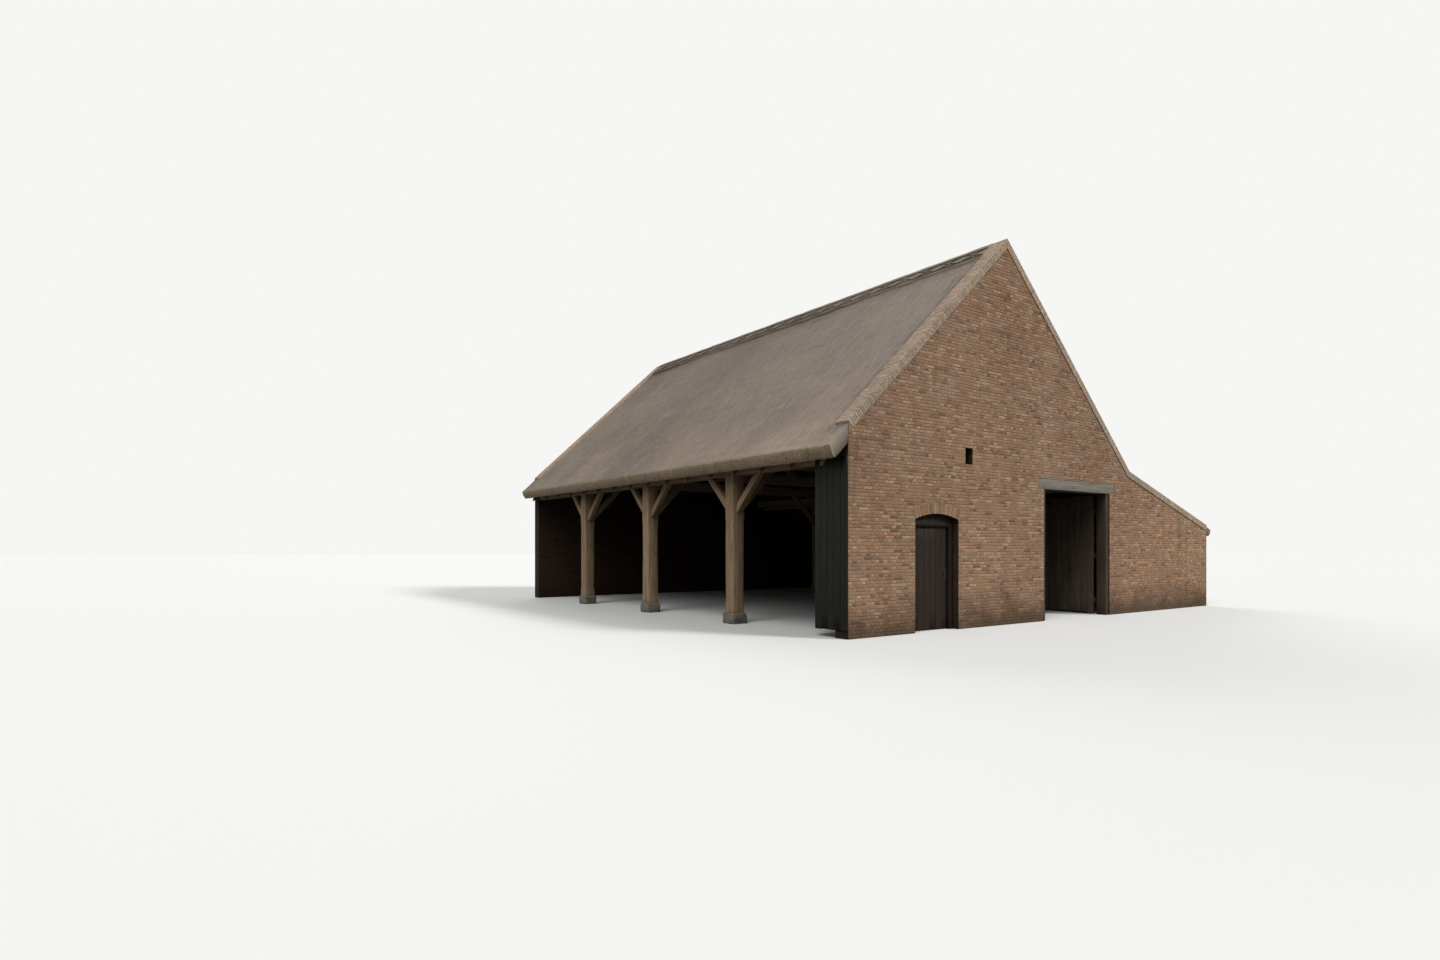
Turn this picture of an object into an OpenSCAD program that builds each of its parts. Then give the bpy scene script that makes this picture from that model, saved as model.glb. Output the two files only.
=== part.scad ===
// Brick barn with an open-fronted cart side, a timber arcade frame and a thatched roof.
// X runs along the front gable to the right, Y along the ridge to the rear, Z up.
// Inside this file x = 0 is the outer face of the open side, y = 0 the front gable's face.
// placed() then moves everything so that the origin is under the middle of the whole.

/* [Main building] */
// Width of the main gable over its walls
main_w = 9070; // [8200:10:10500]
// Length over the two gables
main_l = 14000; // [12000:10:16000]
// Height of the thatch surface at the ridge
ridge_h = 7900; // [7500:10:8400]
// Pitch of the main roof
roof_pitch = 42.6; // [41:0.1:44]
// Thickness of the brick gables
wall_t = 320; // [300:5:360]

/* [Side aisle] */
// Width of the aisle beyond the main building
aisle_w = 4500; // [3800:10:5000]
// Height of the aisle's thatch surface where it would meet the arcade line
aisle_top = 3500; // [3420:10:3560]
// Pitch of the aisle roof
aisle_pitch = 16.7; // [14:0.1:18]
// Thickness of the aisle's low side wall
side_wall_t = 220; // [200:5:260]

/* [Thatch and copings] */
// Thickness of the thatch on the main roof, square to the slope
thatch_t = 260; // [220:5:280]
// Thickness of the thatch on the aisle
aisle_thatch_t = 220; // [200:5:240]
// How far the thatch hangs beyond the open side
eave_out = 410; // [330:5:500]
// How far the thatch hangs beyond the aisle wall
aisle_eave_out = 250; // [180:5:350]
// How far the eave's lower edge is set back from its upper edge
eave_set = 120; // [80:5:160]
// How far the cut reed ends of the eaves swell beyond a straight cut
eave_swell = 30; // [20:1:40]
// Thickness of the ridge cap
ridge_cap_t = 55; // [40:5:80]
// How far the ridge cap reaches down each slope
ridge_cap_leg = 480; // [350:10:600]
// Height of the brick coping above the thatch, square to the slope
coping_rise = 40; // [20:5:60]
// Thickness of the coping
coping_t = 150; // [110:5:180]
// How far the coping stands proud of the gable's face
coping_lip = 15; // [5:1:30]

/* [Timber frame] */
// Side of the square arcade posts
post_w = 300; // [240:5:340]
// Width of the chamfers on the arrises of the arcade posts
post_chamfer = 36; // [20:1:50]
// Height of the stone pads under the posts
pad_h = 220; // [150:5:300]
// Side of the square stone pads
pad_w = 420; // [400:5:480]
// Width of the bevel round the top of the stone pads
pad_bevel = 28; // [15:1:30]
// Height of the wall plates
plate_h = 240; // [200:5:280]
// Width of the wall plates
plate_w = 260; // [220:5:260]
// Height of the tie beams
tie_h = 260; // [220:5:300]
// Thickness of the tie beams along the ridge
tie_t = 240; // [180:5:280]
// Depth of the common rafters
rafter_d = 110; // [90:5:130]
// Width of the common rafters
rafter_w = 90; // [70:5:110]
// Number of common rafters in each bay
rafters_per_bay = 4; // [3:1:4]
// Depth of the purlins
purlin_d = 180; // [150:5:200]
// Width of the purlins along the slope
purlin_w = 200; // [150:5:240]
// Depth of the principal rafters
principal_d = 220; // [180:5:260]
// Thickness of the principal rafters
principal_t = 180; // [140:5:220]
// Thickness of the braces
brace_t = 140; // [100:5:160]
// How far plates, purlins and ridge beam reach into the gables
pocket = 110; // [60:5:140]

/* [Doorways] */
// Left edge of the small doorway
small_x = 1720; // [1500:10:1900]
// Width of the small doorway
small_w = 1260; // [1100:10:1300]
// Height of the small doorway at its sides
small_h = 2120; // [2000:10:2200]
// Rise of the arch over the small doorway
small_rise = 110; // [60:5:160]
// Left edge of the wagon doorway
wagon_x = 5860; // [5700:10:5900]
// Width of the wagon doorway
wagon_w = 2700; // [2500:10:2700]
// Height of the timber lintel over the wagon doorway
lintel_h = 230; // [180:5:260]
// How far the lintel bears on the wall at each side
lintel_bearing = 230; // [150:5:240]
// Width of the oak posts that line the wagon doorway
wagon_post_w = 120; // [90:5:140]
// Angle at which the wagon doors stand open
wagon_open = 90; // [60:1:95]

/* [Hidden] */

$fn = 48;
mid_x = (main_w + aisle_w + aisle_eave_out - eave_out) / 2;
mid_y = main_l / 2;
half_w = main_w / 2;
tan_m = tan(roof_pitch);
cos_m = cos(roof_pitch);
sin_m = sin(roof_pitch);
tan_a = tan(aisle_pitch);
cos_a = cos(aisle_pitch);

// Layers below the thatch surface, square to the main slope
under_rafter = thatch_t + rafter_d;
under_purlin = under_rafter + purlin_d;
under_principal = under_purlin + principal_d;
wall_down = coping_t - coping_rise;
// Sloping faces that bear on each other stay this far apart
bearing_gap = 0.3;

// The plate's top is where the rafter's underside has come this far in from its outer face
plate_inset = 20;
birdsmouth = 81;
plate_in = plate_inset + plate_w;
plate_top = roof_z(plate_inset + birdsmouth, under_rafter);
plate_bottom = plate_top - plate_h;
tie_top = plate_top + tie_h;
bays = 4;
bay_l = main_l / bays;
truss_ys = [for (i = [1:bays - 1]) i * bay_l];

aisle_rafter_d = 100;
aisle_under = aisle_thatch_t + aisle_rafter_d;
aisle_x = main_w + aisle_w;
aisle_plate_w = 160;
aisle_plate_h = 120;
aisle_plate_x = aisle_x - side_wall_t + 20;
aisle_plate_out = aisle_plate_x + aisle_plate_w;
aisle_seat = 55;
aisle_plate_top = aisle_z(aisle_plate_x + aisle_seat, aisle_under);
aisle_plate_bottom = aisle_plate_top - aisle_plate_h;

// Clearances and iron sizes of the doors, which all open inwards
leaf_t = 60;
plank_t = 30;
hinge_off = 24;
leaf_set = 3;
pin_r = 10;
eye_r = 18;
eye_bore_r = 12;
eye_h = 60;
strap_t = 10;
strap_h = 50;
wagon_side_gap = 10;
wagon_mid_gap = 12;
wagon_leaf_w = (wagon_w - 2 * wagon_side_gap - wagon_mid_gap) / 2;
wagon_leaf_z = 40;
wagon_h = plate_bottom - lintel_h;
wagon_leaf_h = wagon_h - 20 - wagon_leaf_z;
wagon_axis_y = wall_t - leaf_set + hinge_off;
wagon_strap_zs = [350, 1400, 2450];
wagon_strap_reach = 1050;
frame_w = 95;
frame_y = 120;
frame_t = 130;
small_side_gap = 6;
small_leaf_x = small_x + frame_w + small_side_gap;
small_leaf_w = small_w - 2 * frame_w - 2 * small_side_gap;
small_leaf_z = 25;
small_leaf_h = small_h - frame_w - small_leaf_z - 17;
small_axis_y = frame_y + frame_t - leaf_set + hinge_off;
small_strap_zs = [300, 1650];

// Height of a line parallel to the main roof's surface, `down` below it square to the slope
function roof_z(x, down) = ridge_h - abs(x - half_w) * tan_m - down / cos_m;
// The same for the aisle roof
function aisle_z(x, down) = aisle_top - (x - main_w) * tan_a - down / cos_a;
// Where the main and the aisle lines meet
function bend_x(main_down, aisle_down) =
    (ridge_h + half_w * tan_m - main_down / cos_m - aisle_top - main_w * tan_a
        + aisle_down / cos_a) / (tan_m - tan_a);
// A point `s` down the slope from the ridge and `d` below its surface, side -1 left, 1 right
function slope_pt(side, s, d) =
    [half_w + side * (s * cos_m - d * sin_m), ridge_h - s * sin_m - d * cos_m];
// Where the main line at depth `down` has the height z, on the left slope
function roof_x(z, down) = half_w - (ridge_h - down / cos_m - z) / tan_m;

module placed() {
    translate([-mid_x, -mid_y, 0]) children();
}

// A profile drawn in x and z, carried along y
module along_y(y0, y1) {
    translate([0, y1, 0]) rotate([90, 0, 0]) linear_extrude(y1 - y0) children();
}

// A profile drawn in y and z, carried along x
module along_x(x0, x1) {
    translate([x0, 0, 0]) rotate([90, 0, 90]) linear_extrude(x1 - x0) children();
}

module block(x0, x1, y0, y1, z0, z1) {
    translate([x0, y0, z0]) cube([x1 - x0, y1 - y0, z1 - z0]);
}

// Repeats a left-hand piece on the right-hand slope
module mirrored_main() {
    translate([main_w, 0, 0]) mirror([1, 0, 0]) children();
}

module rear_copy() {
    translate([0, main_l, 0]) mirror([0, 1, 0]) children();
}

// Long timbers that lie in pockets of both gables
module plate_profile(x0) {
    translate([x0, plate_bottom]) square([plate_w, plate_h]);
}

purlin_s = [2050, 4100];
module purlin_profile(side, s) {
    top = under_rafter + bearing_gap;
    polygon([slope_pt(side, s - purlin_w / 2, top), slope_pt(side, s + purlin_w / 2, top),
        slope_pt(side, s + purlin_w / 2, under_purlin), slope_pt(side, s - purlin_w / 2, under_purlin)]);
}

ridge_beam_half = 100;
principal_top = under_purlin + bearing_gap;
ridge_beam_bottom = roof_z(half_w - ridge_beam_half, principal_top);
module ridge_profile() {
    shoulder = roof_z(half_w - ridge_beam_half, under_rafter + bearing_gap);
    polygon([[half_w - ridge_beam_half, ridge_beam_bottom], [half_w + ridge_beam_half, ridge_beam_bottom],
        [half_w + ridge_beam_half, shoulder], [half_w, roof_z(half_w, under_rafter + bearing_gap)],
        [half_w - ridge_beam_half, shoulder]]);
}

timber_y0 = wall_t - pocket;
timber_y1 = main_l - wall_t + pocket;
module wall_plates_body() {
    along_y(timber_y0, timber_y1) plate_profile(plate_inset);
    along_y(timber_y0, timber_y1) plate_profile(main_w - plate_in);
}
module purlins_body() {
    for (side = [-1, 1], s = purlin_s)
        along_y(timber_y0, timber_y1) purlin_profile(side, s);
}
module ridge_beam_body() {
    along_y(timber_y0, timber_y1) ridge_profile();
}

// Gable wall above the plates' underside, with the pockets of the long timbers
module gable_profile(z0) {
    polygon([[0, z0], [main_w, z0], [main_w, roof_z(main_w, wall_down)],
        [half_w, roof_z(half_w, wall_down)], [0, roof_z(0, wall_down)]]);
}

vent_x = 3190;
vent_z = 3220;
vent_w = 230;
vent_h = 330;
module front_gable() {
    color("#876b58")
    difference() {
        along_y(0, wall_t) gable_profile(plate_bottom);
        wall_plates_body();
        purlins_body();
        ridge_beam_body();
        block(vent_x, vent_x + vent_w, -1, wall_t + 1, vent_z, vent_z + vent_h);
    }
}

module rear_gable() {
    color("#876b58")
    difference() {
        along_y(main_l - wall_t, main_l) gable_profile(0);
        wall_plates_body();
        purlins_body();
        ridge_beam_body();
    }
}

module lintel_block() {
    block(wagon_x - lintel_bearing, wagon_x + wagon_w + lintel_bearing, 0, wall_t, wagon_h, plate_bottom);
}

module front_wall_left() {
    color("#876b58") block(0, small_x, 0, wall_t, 0, plate_bottom);
}

module front_wall_middle() {
    color("#876b58")
    difference() {
        block(small_x + small_w, wagon_x, 0, wall_t, 0, plate_bottom);
        lintel_block();
    }
}

module front_wall_right() {
    color("#876b58")
    difference() {
        block(wagon_x + wagon_w, main_w, 0, wall_t, 0, plate_bottom);
        lintel_block();
    }
}

module wagon_lintel() {
    color("#6b6558") lintel_block();
}

// Oak posts under the lintel, against which the closed leaves rest, chamfered towards the doorway
wagon_post_y = 20;
wagon_post_clear = 7;
wagon_post_chamfer = 25;
module wagon_post() {
    back = wagon_axis_y - hinge_off - leaf_t - wagon_post_clear;
    inner = wagon_x + wagon_post_w;
    linear_extrude(wagon_h)
        polygon([[wagon_x, wagon_post_y], [inner - wagon_post_chamfer, wagon_post_y],
            [inner, wagon_post_y + wagon_post_chamfer], [inner, back], [wagon_x, back]]);
}

module wagon_posts() {
    color("#4a3f31") {
        wagon_post();
        wagon_mirror() wagon_post();
    }
}

// Round of the segmental arch over the small doorway
arch_r = (pow(small_w / 2, 2) + pow(small_rise, 2)) / (2 * small_rise);
module arch_round(y0, y1) {
    translate([small_x + small_w / 2, y1, small_h + small_rise - arch_r])
        rotate([90, 0, 0]) cylinder(r = arch_r, h = y1 - y0, $fn = 144);
}

module small_door_head() {
    color("#876b58")
    difference() {
        block(small_x, small_x + small_w, 0, wall_t, small_h, plate_bottom);
        arch_round(-1, wall_t + 1);
    }
}

module aisle_wall_profile() {
    bend = bend_x(wall_down, wall_down);
    polygon([[main_w, 0], [aisle_x, 0], [aisle_x, aisle_z(aisle_x, wall_down)],
        [bend, aisle_z(bend, wall_down)], [main_w, roof_z(main_w, wall_down)]]);
}

module aisle_front_wall() {
    color("#876b58") along_y(0, wall_t) aisle_wall_profile();
}

module aisle_rear_wall() {
    color("#876b58") along_y(main_l - wall_t, main_l) aisle_wall_profile();
}

module aisle_side_wall() {
    color("#876b58")
        block(aisle_x - side_wall_t, aisle_x, wall_t, main_l - wall_t, 0, aisle_plate_bottom);
}

// Copings follow the roof line on both gables and meet in mitres
coping_down = wall_down - bearing_gap;
module coping_left_profile() {
    polygon([[0, roof_z(0, coping_down)], [half_w, roof_z(half_w, coping_down)],
        [half_w, roof_z(half_w, -coping_rise)], [0, roof_z(0, -coping_rise)]]);
}

module coping_right_profile() {
    low = bend_x(coping_down, coping_down);
    high = bend_x(-coping_rise, -coping_rise);
    polygon([[half_w, roof_z(half_w, coping_down)], [low, roof_z(low, coping_down)],
        [high, roof_z(high, -coping_rise)], [half_w, roof_z(half_w, -coping_rise)]]);
}

module coping_aisle_profile() {
    low = bend_x(coping_down, coping_down);
    high = bend_x(-coping_rise, -coping_rise);
    polygon([[low, aisle_z(low, coping_down)], [aisle_x, aisle_z(aisle_x, coping_down)],
        [aisle_x, aisle_z(aisle_x, -coping_rise)], [high, aisle_z(high, -coping_rise)]]);
}

module on_both_gables() {
    along_y(-coping_lip, wall_t) children();
    rear_copy() along_y(-coping_lip, wall_t) children();
}

module coping_left() {
    color("#9a8672") on_both_gables() coping_left_profile();
}

module coping_right() {
    color("#9a8672") on_both_gables() coping_right_profile();
}

module coping_aisle() {
    color("#9a8672") on_both_gables() coping_aisle_profile();
}

// Timber frame, with braces at 45 degrees from the posts to the plates and to the tie beams
post_xs = [0, main_w - post_w];
brace_drop = 780;
brace_band = 200;
tie_brace_drop = 1000;

// Side view of a pad from `a` on, bevelled round its top
module pad_profile(a) {
    polygon([[a, 0], [a + pad_w, 0], [a + pad_w, pad_h - pad_bevel], [a + pad_w - pad_bevel, pad_h],
        [a + pad_bevel, pad_h], [a, pad_h - pad_bevel]]);
}

module post_stones() {
    over = (pad_w - post_w) / 2;
    color("#8f887c")
    for (x = post_xs, y = truss_ys)
        intersection() {
            along_x(x - over, x - over + pad_w) pad_profile(y - pad_w / 2);
            along_y(y - pad_w / 2, y + pad_w / 2) pad_profile(x - over);
        }
}

// Posts are chamfered between stops that run out at 45 degrees, below the braces and above the pads
chamfer_z0 = pad_h + 180;
chamfer_z1 = plate_bottom - brace_drop - 140;
module chamfer_cutters() {
    depth = post_w / sqrt(2) - post_chamfer / 2;
    far = post_w;
    run = far - depth;
    for (turn = [45:90:315])
        rotate([0, 0, turn])
            along_y(-post_w / 4, post_w / 4)
                polygon([[depth, chamfer_z0], [far, chamfer_z0 - run], [far, chamfer_z1 + run],
                    [depth, chamfer_z1]]);
}

module arcade_posts() {
    color("#594a39")
    for (x = post_xs, y = truss_ys)
        difference() {
            block(x, x + post_w, y - post_w / 2, y + post_w / 2, pad_h, plate_bottom);
            translate([x + post_w / 2, y, 0]) chamfer_cutters();
        }
}

module wall_plates() {
    color("#594a39") wall_plates_body();
}

module brace_profile(from, top, way) {
    polygon([[from, top - brace_drop], [from + way * brace_drop, top],
        [from + way * (brace_drop - brace_band), top], [from, top - brace_drop + brace_band]]);
}

module plate_braces() {
    inset = (post_w - brace_t) / 2;
    color("#594a39")
    for (x = post_xs, y = truss_ys, way = [-1, 1])
        along_x(x + inset, x + inset + brace_t)
            brace_profile(y + way * post_w / 2, plate_bottom, way);
}

module tie_brace() {
    for (y = truss_ys)
        along_y(y - brace_t / 2, y + brace_t / 2)
            polygon([[post_w, plate_top - tie_brace_drop], [post_w + tie_brace_drop, plate_top],
                [post_w + tie_brace_drop - brace_band, plate_top],
                [post_w, plate_top - tie_brace_drop + brace_band]]);
}

module tie_braces() {
    color("#594a39") {
        tie_brace();
        mirrored_main() tie_brace();
    }
}

module tie_beams() {
    cut_x = roof_x(tie_top, thatch_t + bearing_gap);
    end_z = roof_z(plate_inset, thatch_t + bearing_gap);
    color("#594a39")
    for (y = truss_ys)
        along_y(y - tie_t / 2, y + tie_t / 2)
            polygon([[plate_inset, plate_top], [main_w - plate_inset, plate_top],
                [main_w - plate_inset, end_z], [main_w - cut_x, tie_top], [cut_x, tie_top],
                [plate_inset, end_z]]);
}

module principal() {
    for (y = truss_ys)
        along_y(y - principal_t / 2, y + principal_t / 2)
            polygon([[roof_x(tie_top, principal_top), tie_top], [roof_x(tie_top, under_principal), tie_top],
                [half_w, roof_z(half_w, under_principal)], [half_w, ridge_beam_bottom],
                [half_w - ridge_beam_half, ridge_beam_bottom]]);
}

module principals_left() {
    color("#594a39") principal();
}

module principals_right() {
    color("#594a39") mirrored_main() principal();
}

collar_z = 5650;
collar_h = 200;
module collars() {
    low = roof_x(collar_z, under_principal) + bearing_gap;
    high = roof_x(collar_z + collar_h, under_principal) + bearing_gap;
    color("#594a39")
    for (y = truss_ys)
        along_y(y - brace_t / 2, y + brace_t / 2)
            polygon([[low, collar_z], [main_w - low, collar_z], [main_w - high, collar_z + collar_h],
                [high, collar_z + collar_h]]);
}

module purlins() {
    color("#594a39") purlins_body();
}

module ridge_beam() {
    color("#594a39") ridge_beam_body();
}

// Common rafters with a birdsmouth over the plate's outer edge
rafter_step = bay_l / rafters_per_bay;
rafter_ys = [for (i = [0:bays * rafters_per_bay - 1]) (i + 0.5) * rafter_step];
module rafter_profile(tail_x) {
    top = thatch_t + bearing_gap;
    polygon([[half_w, roof_z(half_w, top)], [half_w, roof_z(half_w, under_rafter)],
        [plate_inset + birdsmouth, plate_top], [plate_inset, plate_top],
        [plate_inset, roof_z(plate_inset, under_rafter)], [tail_x, roof_z(tail_x, under_rafter)],
        [tail_x, roof_z(tail_x, top)]]);
}

module rafters_left() {
    color("#6a5844")
    for (y = rafter_ys)
        along_y(y - rafter_w / 2, y + rafter_w / 2) rafter_profile(-eave_out + eave_set + 60);
}

module rafters_right() {
    color("#6a5844")
    mirrored_main()
    for (y = rafter_ys)
        along_y(y - rafter_w / 2, y + rafter_w / 2) rafter_profile(-60);
}

// Aisle rafters stand beside the main ones, spiked to the plate over a ledger
ledger_w = 100;
ledger_h = 180;
module aisle_ledger() {
    color("#594a39")
    along_y(wall_t, main_l - wall_t)
        polygon([[main_w, aisle_z(main_w, aisle_under) - ledger_h],
            [main_w + ledger_w, aisle_z(main_w, aisle_under) - ledger_h],
            [main_w + ledger_w, aisle_z(main_w + ledger_w, aisle_under + bearing_gap)],
            [main_w, aisle_z(main_w, aisle_under + bearing_gap)]]);
}

module aisle_rafters() {
    head = main_w - plate_inset;
    tail = aisle_x + aisle_eave_out - eave_set;
    beside = rafter_w + 10;
    top = aisle_thatch_t + bearing_gap;
    color("#6a5844")
    for (y = rafter_ys) {
        mid = y < mid_y ? y + beside : y - beside;
        along_y(mid - rafter_w / 2, mid + rafter_w / 2)
            polygon([[head, aisle_z(head, top)], [tail, aisle_z(tail, top)],
                [tail, aisle_z(tail, aisle_under)], [aisle_plate_out, aisle_z(aisle_plate_out, aisle_under)],
                [aisle_plate_out, aisle_plate_top], [aisle_plate_x + aisle_seat, aisle_plate_top],
                [head, aisle_z(head, aisle_under)]]);
    }
}

module aisle_plate() {
    color("#594a39")
        block(aisle_plate_x, aisle_plate_out, wall_t, main_l - wall_t, aisle_plate_bottom, aisle_plate_top);
}

// Cut reed ends swell in an arc beyond the straight line from the eave's lip to its heel
module eave_swelling(lip, heel) {
    chord = norm(heel - lip);
    out = [heel.y - lip.y, lip.x - heel.x] * (heel.x > lip.x ? 1 : -1) / chord;
    radius = (chord * chord / 4 + eave_swell * eave_swell) / (2 * eave_swell);
    intersection() {
        translate((lip + heel) / 2 - out * (radius - eave_swell)) circle(r = radius);
        polygon([lip, heel, heel + out * 2 * eave_swell, lip + out * 2 * eave_swell]);
    }
}

// Thatch lies between the gables, and its eaves run on past the ends of the walls
module thatch_left_profile(to_x) {
    under_x = -eave_out + eave_set;
    lip = [-eave_out, roof_z(-eave_out, 0)];
    heel = [under_x, roof_z(under_x, thatch_t)];
    polygon([lip, heel, [to_x, roof_z(to_x, thatch_t)], [to_x, roof_z(to_x, 0)]]);
    eave_swelling(lip, heel);
}

module thatch_left() {
    color("#82776d") {
        along_y(wall_t, main_l - wall_t) thatch_left_profile(half_w);
        along_y(0, main_l) thatch_left_profile(0);
    }
}

module thatch_right() {
    low = bend_x(thatch_t, aisle_thatch_t);
    high = bend_x(0, 0);
    color("#82776d")
    along_y(wall_t, main_l - wall_t)
        polygon([[half_w, roof_z(half_w, 0)], [half_w, roof_z(half_w, thatch_t)],
            [low, roof_z(low, thatch_t)], [high, roof_z(high, 0)]]);
}

module aisle_eave_profile(from_x_low, from_x_high) {
    out_x = aisle_x + aisle_eave_out;
    under_x = out_x - eave_set;
    lip = [out_x, aisle_z(out_x, 0)];
    heel = [under_x, aisle_z(under_x, aisle_thatch_t)];
    polygon([[from_x_high, aisle_z(from_x_high, 0)], [from_x_low, aisle_z(from_x_low, aisle_thatch_t)],
        heel, lip]);
    eave_swelling(lip, heel);
}

module thatch_aisle() {
    color("#82776d") {
        along_y(wall_t, main_l - wall_t)
            aisle_eave_profile(bend_x(thatch_t, aisle_thatch_t), bend_x(0, 0));
        along_y(0, main_l) aisle_eave_profile(aisle_x, aisle_x);
    }
}

module ridge_cap() {
    color("#6f6458")
    along_y(wall_t, main_l - wall_t)
        polygon([[half_w, roof_z(half_w, -bearing_gap)], slope_pt(-1, ridge_cap_leg, -bearing_gap),
            slope_pt(-1, ridge_cap_leg, -ridge_cap_t / 2), slope_pt(-1, ridge_cap_leg - 60, -ridge_cap_t),
            [half_w, roof_z(half_w, -ridge_cap_t)],
            slope_pt(1, ridge_cap_leg - 60, -ridge_cap_t), slope_pt(1, ridge_cap_leg, -ridge_cap_t / 2),
            slope_pt(1, ridge_cap_leg, -bearing_gap)]);
}

// Tarred boarding at the front corner of the open side, and the studs behind it
board_t = 28;
boarding_l = 820;
boarding_z = 120;
stud_w = 120;
rail_h = 100;
rail_t = 80;
module corner_boarding() {
    color("#25241f")
        block(-board_t, 0, 0, boarding_l, boarding_z, roof_z(-board_t, under_rafter) - 25);
}

module corner_studs() {
    color("#594a39") {
        block(0, stud_w, boarding_l - stud_w, boarding_l, 0, plate_bottom);
        for (z = [500, 1700, 2800])
            block(0, rail_t, wall_t, boarding_l - stud_w, z, z + rail_h);
    }
}

// Small door and its frame
module small_door_frame() {
    color("#2c2620")
    difference() {
        intersection() {
            block(small_x, small_x + small_w, frame_y, frame_y + frame_t, 0, small_h + small_rise);
            arch_round(frame_y - 1, frame_y + frame_t + 1);
        }
        block(small_x + frame_w, small_x + small_w - frame_w, frame_y - 1, frame_y + frame_t + 1,
            -1, small_h - frame_w);
    }
}

// A leaf closed in its doorway: its hinge side at x = 0, its pin's axis at y = 0.
// Ledges cross the planks, and braces rise between them from the hinge side.
ledge_h = 160;
leaf_brace_in = 60;
leaf_brace_w = 130;
module plank_leaf(w, h, ledge_zs) {
    plank_back = -hinge_off - leaf_t + plank_t;
    block(0, w, -hinge_off - leaf_t, plank_back, 0, h);
    for (z = ledge_zs)
        block(0, w, plank_back, -hinge_off, z - ledge_h / 2, z + ledge_h / 2);
    for (i = [1:len(ledge_zs) - 1])
        along_y(plank_back, -hinge_off)
            leaf_brace_profile(w, ledge_zs[i - 1] + ledge_h / 2, ledge_zs[i] - ledge_h / 2);
}

module leaf_brace_profile(w, low, high) {
    polygon([[leaf_brace_in, low], [leaf_brace_in + leaf_brace_w, low], [w - leaf_brace_in, high],
        [w - leaf_brace_in - leaf_brace_w, high]]);
}

// Strap hinges of a leaf, tapering to round ends, with the eyes that turn on the pintles
strap_end_r = 17;
module strap_profile(reach, z) {
    polygon([[0, z - strap_h / 2], [reach - strap_end_r, z - strap_end_r],
        [reach - strap_end_r, z + strap_end_r], [0, z + strap_h / 2]]);
    translate([reach - strap_end_r, z]) circle(r = strap_end_r);
}

module straps(reach, zs) {
    for (z = zs)
        difference() {
            union() {
                translate([0, 0, z - eye_h / 2]) cylinder(r = eye_r, h = eye_h);
                along_y(-hinge_off, -hinge_off + strap_t) strap_profile(reach, z);
            }
            translate([0, 0, z - eye_h / 2 - 1]) cylinder(r = eye_bore_r, h = eye_h + 2);
        }
}

// Wall hooks: a plate on the wall, an arm and the upright pin
module wall_hooks(plate_y, zs) {
    arm_h = 30;
    plate_t = 8;
    for (z = zs) {
        seat = z - eye_h / 2 - 2;
        block(-90, -30, plate_y, plate_y + plate_t, seat - 70, seat + 30);
        block(-40, pin_r, plate_y, pin_r, seat - arm_h, seat);
        translate([0, 0, seat - arm_h / 2]) cylinder(r = pin_r, h = arm_h / 2 + eye_h + 12);
    }
}

module at_small_hinge() {
    translate([small_leaf_x, small_axis_y, 0]) children();
}

module small_door() {
    color("#2c2620") at_small_hinge()
        translate([0, 0, small_leaf_z])
            plank_leaf(small_leaf_w, small_leaf_h, [for (z = small_strap_zs) z - small_leaf_z]);
}

// A back plate on the face at `face_y`, with a bowed pull standing out of it
pull_z = 1070;
pull_h = 126;
pull_out = 46;
pull_r = 8;
pull_from_edge = 100;
pull_plate_w = 60;
pull_plate_h = 220;
pull_plate_t = 6;
module door_pull(x, face_y) {
    half_h = pull_h / 2;
    block(x - pull_plate_w / 2, x + pull_plate_w / 2, face_y - pull_plate_t, face_y,
        pull_z - pull_plate_h / 2, pull_z + pull_plate_h / 2);
    translate([x, face_y - pull_out + pull_r, pull_z - half_h]) cylinder(r = pull_r, h = pull_h);
    for (z = [pull_z - half_h + pull_r, pull_z + half_h - pull_r])
        translate([x, face_y - pull_plate_t / 2, z]) rotate([90, 0, 0])
            cylinder(r = pull_r, h = pull_out - pull_r - pull_plate_t / 2);
}

small_strap_reach = 760;
module small_door_ironwork() {
    color("#24211e") at_small_hinge() {
        straps(small_strap_reach, small_strap_zs);
        door_pull(small_leaf_w - pull_from_edge, -hinge_off - leaf_t);
    }
}

// The left wagon leaf, turned on its pin to the angle at which it stands open
module at_wagon_hinge(angle) {
    translate([wagon_x + wagon_side_gap, wagon_axis_y, 0]) rotate([0, 0, angle]) children();
}

module wagon_mirror() {
    translate([2 * wagon_x + wagon_w, 0, 0]) mirror([1, 0, 0]) children();
}

module wagon_leaf() {
    at_wagon_hinge(wagon_open)
        translate([0, 0, wagon_leaf_z])
            plank_leaf(wagon_leaf_w, wagon_leaf_h, [for (z = wagon_strap_zs) z - wagon_leaf_z]);
}

module wagon_door_left() {
    color("#3b3025") wagon_leaf();
}

module wagon_door_right() {
    color("#3b3025") wagon_mirror() wagon_leaf();
}

module wagon_ironwork_left() {
    color("#24211e") at_wagon_hinge(wagon_open) straps(wagon_strap_reach, wagon_strap_zs);
}

module wagon_ironwork_right() {
    color("#24211e") wagon_mirror() at_wagon_hinge(wagon_open) straps(wagon_strap_reach, wagon_strap_zs);
}

module pintles() {
    color("#24211e") {
        at_small_hinge() wall_hooks(frame_y + frame_t - small_axis_y, small_strap_zs);
        at_wagon_hinge(0) wall_hooks(wall_t - wagon_axis_y, wagon_strap_zs);
        wagon_mirror() at_wagon_hinge(0) wall_hooks(wall_t - wagon_axis_y, wagon_strap_zs);
    }
}

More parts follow.
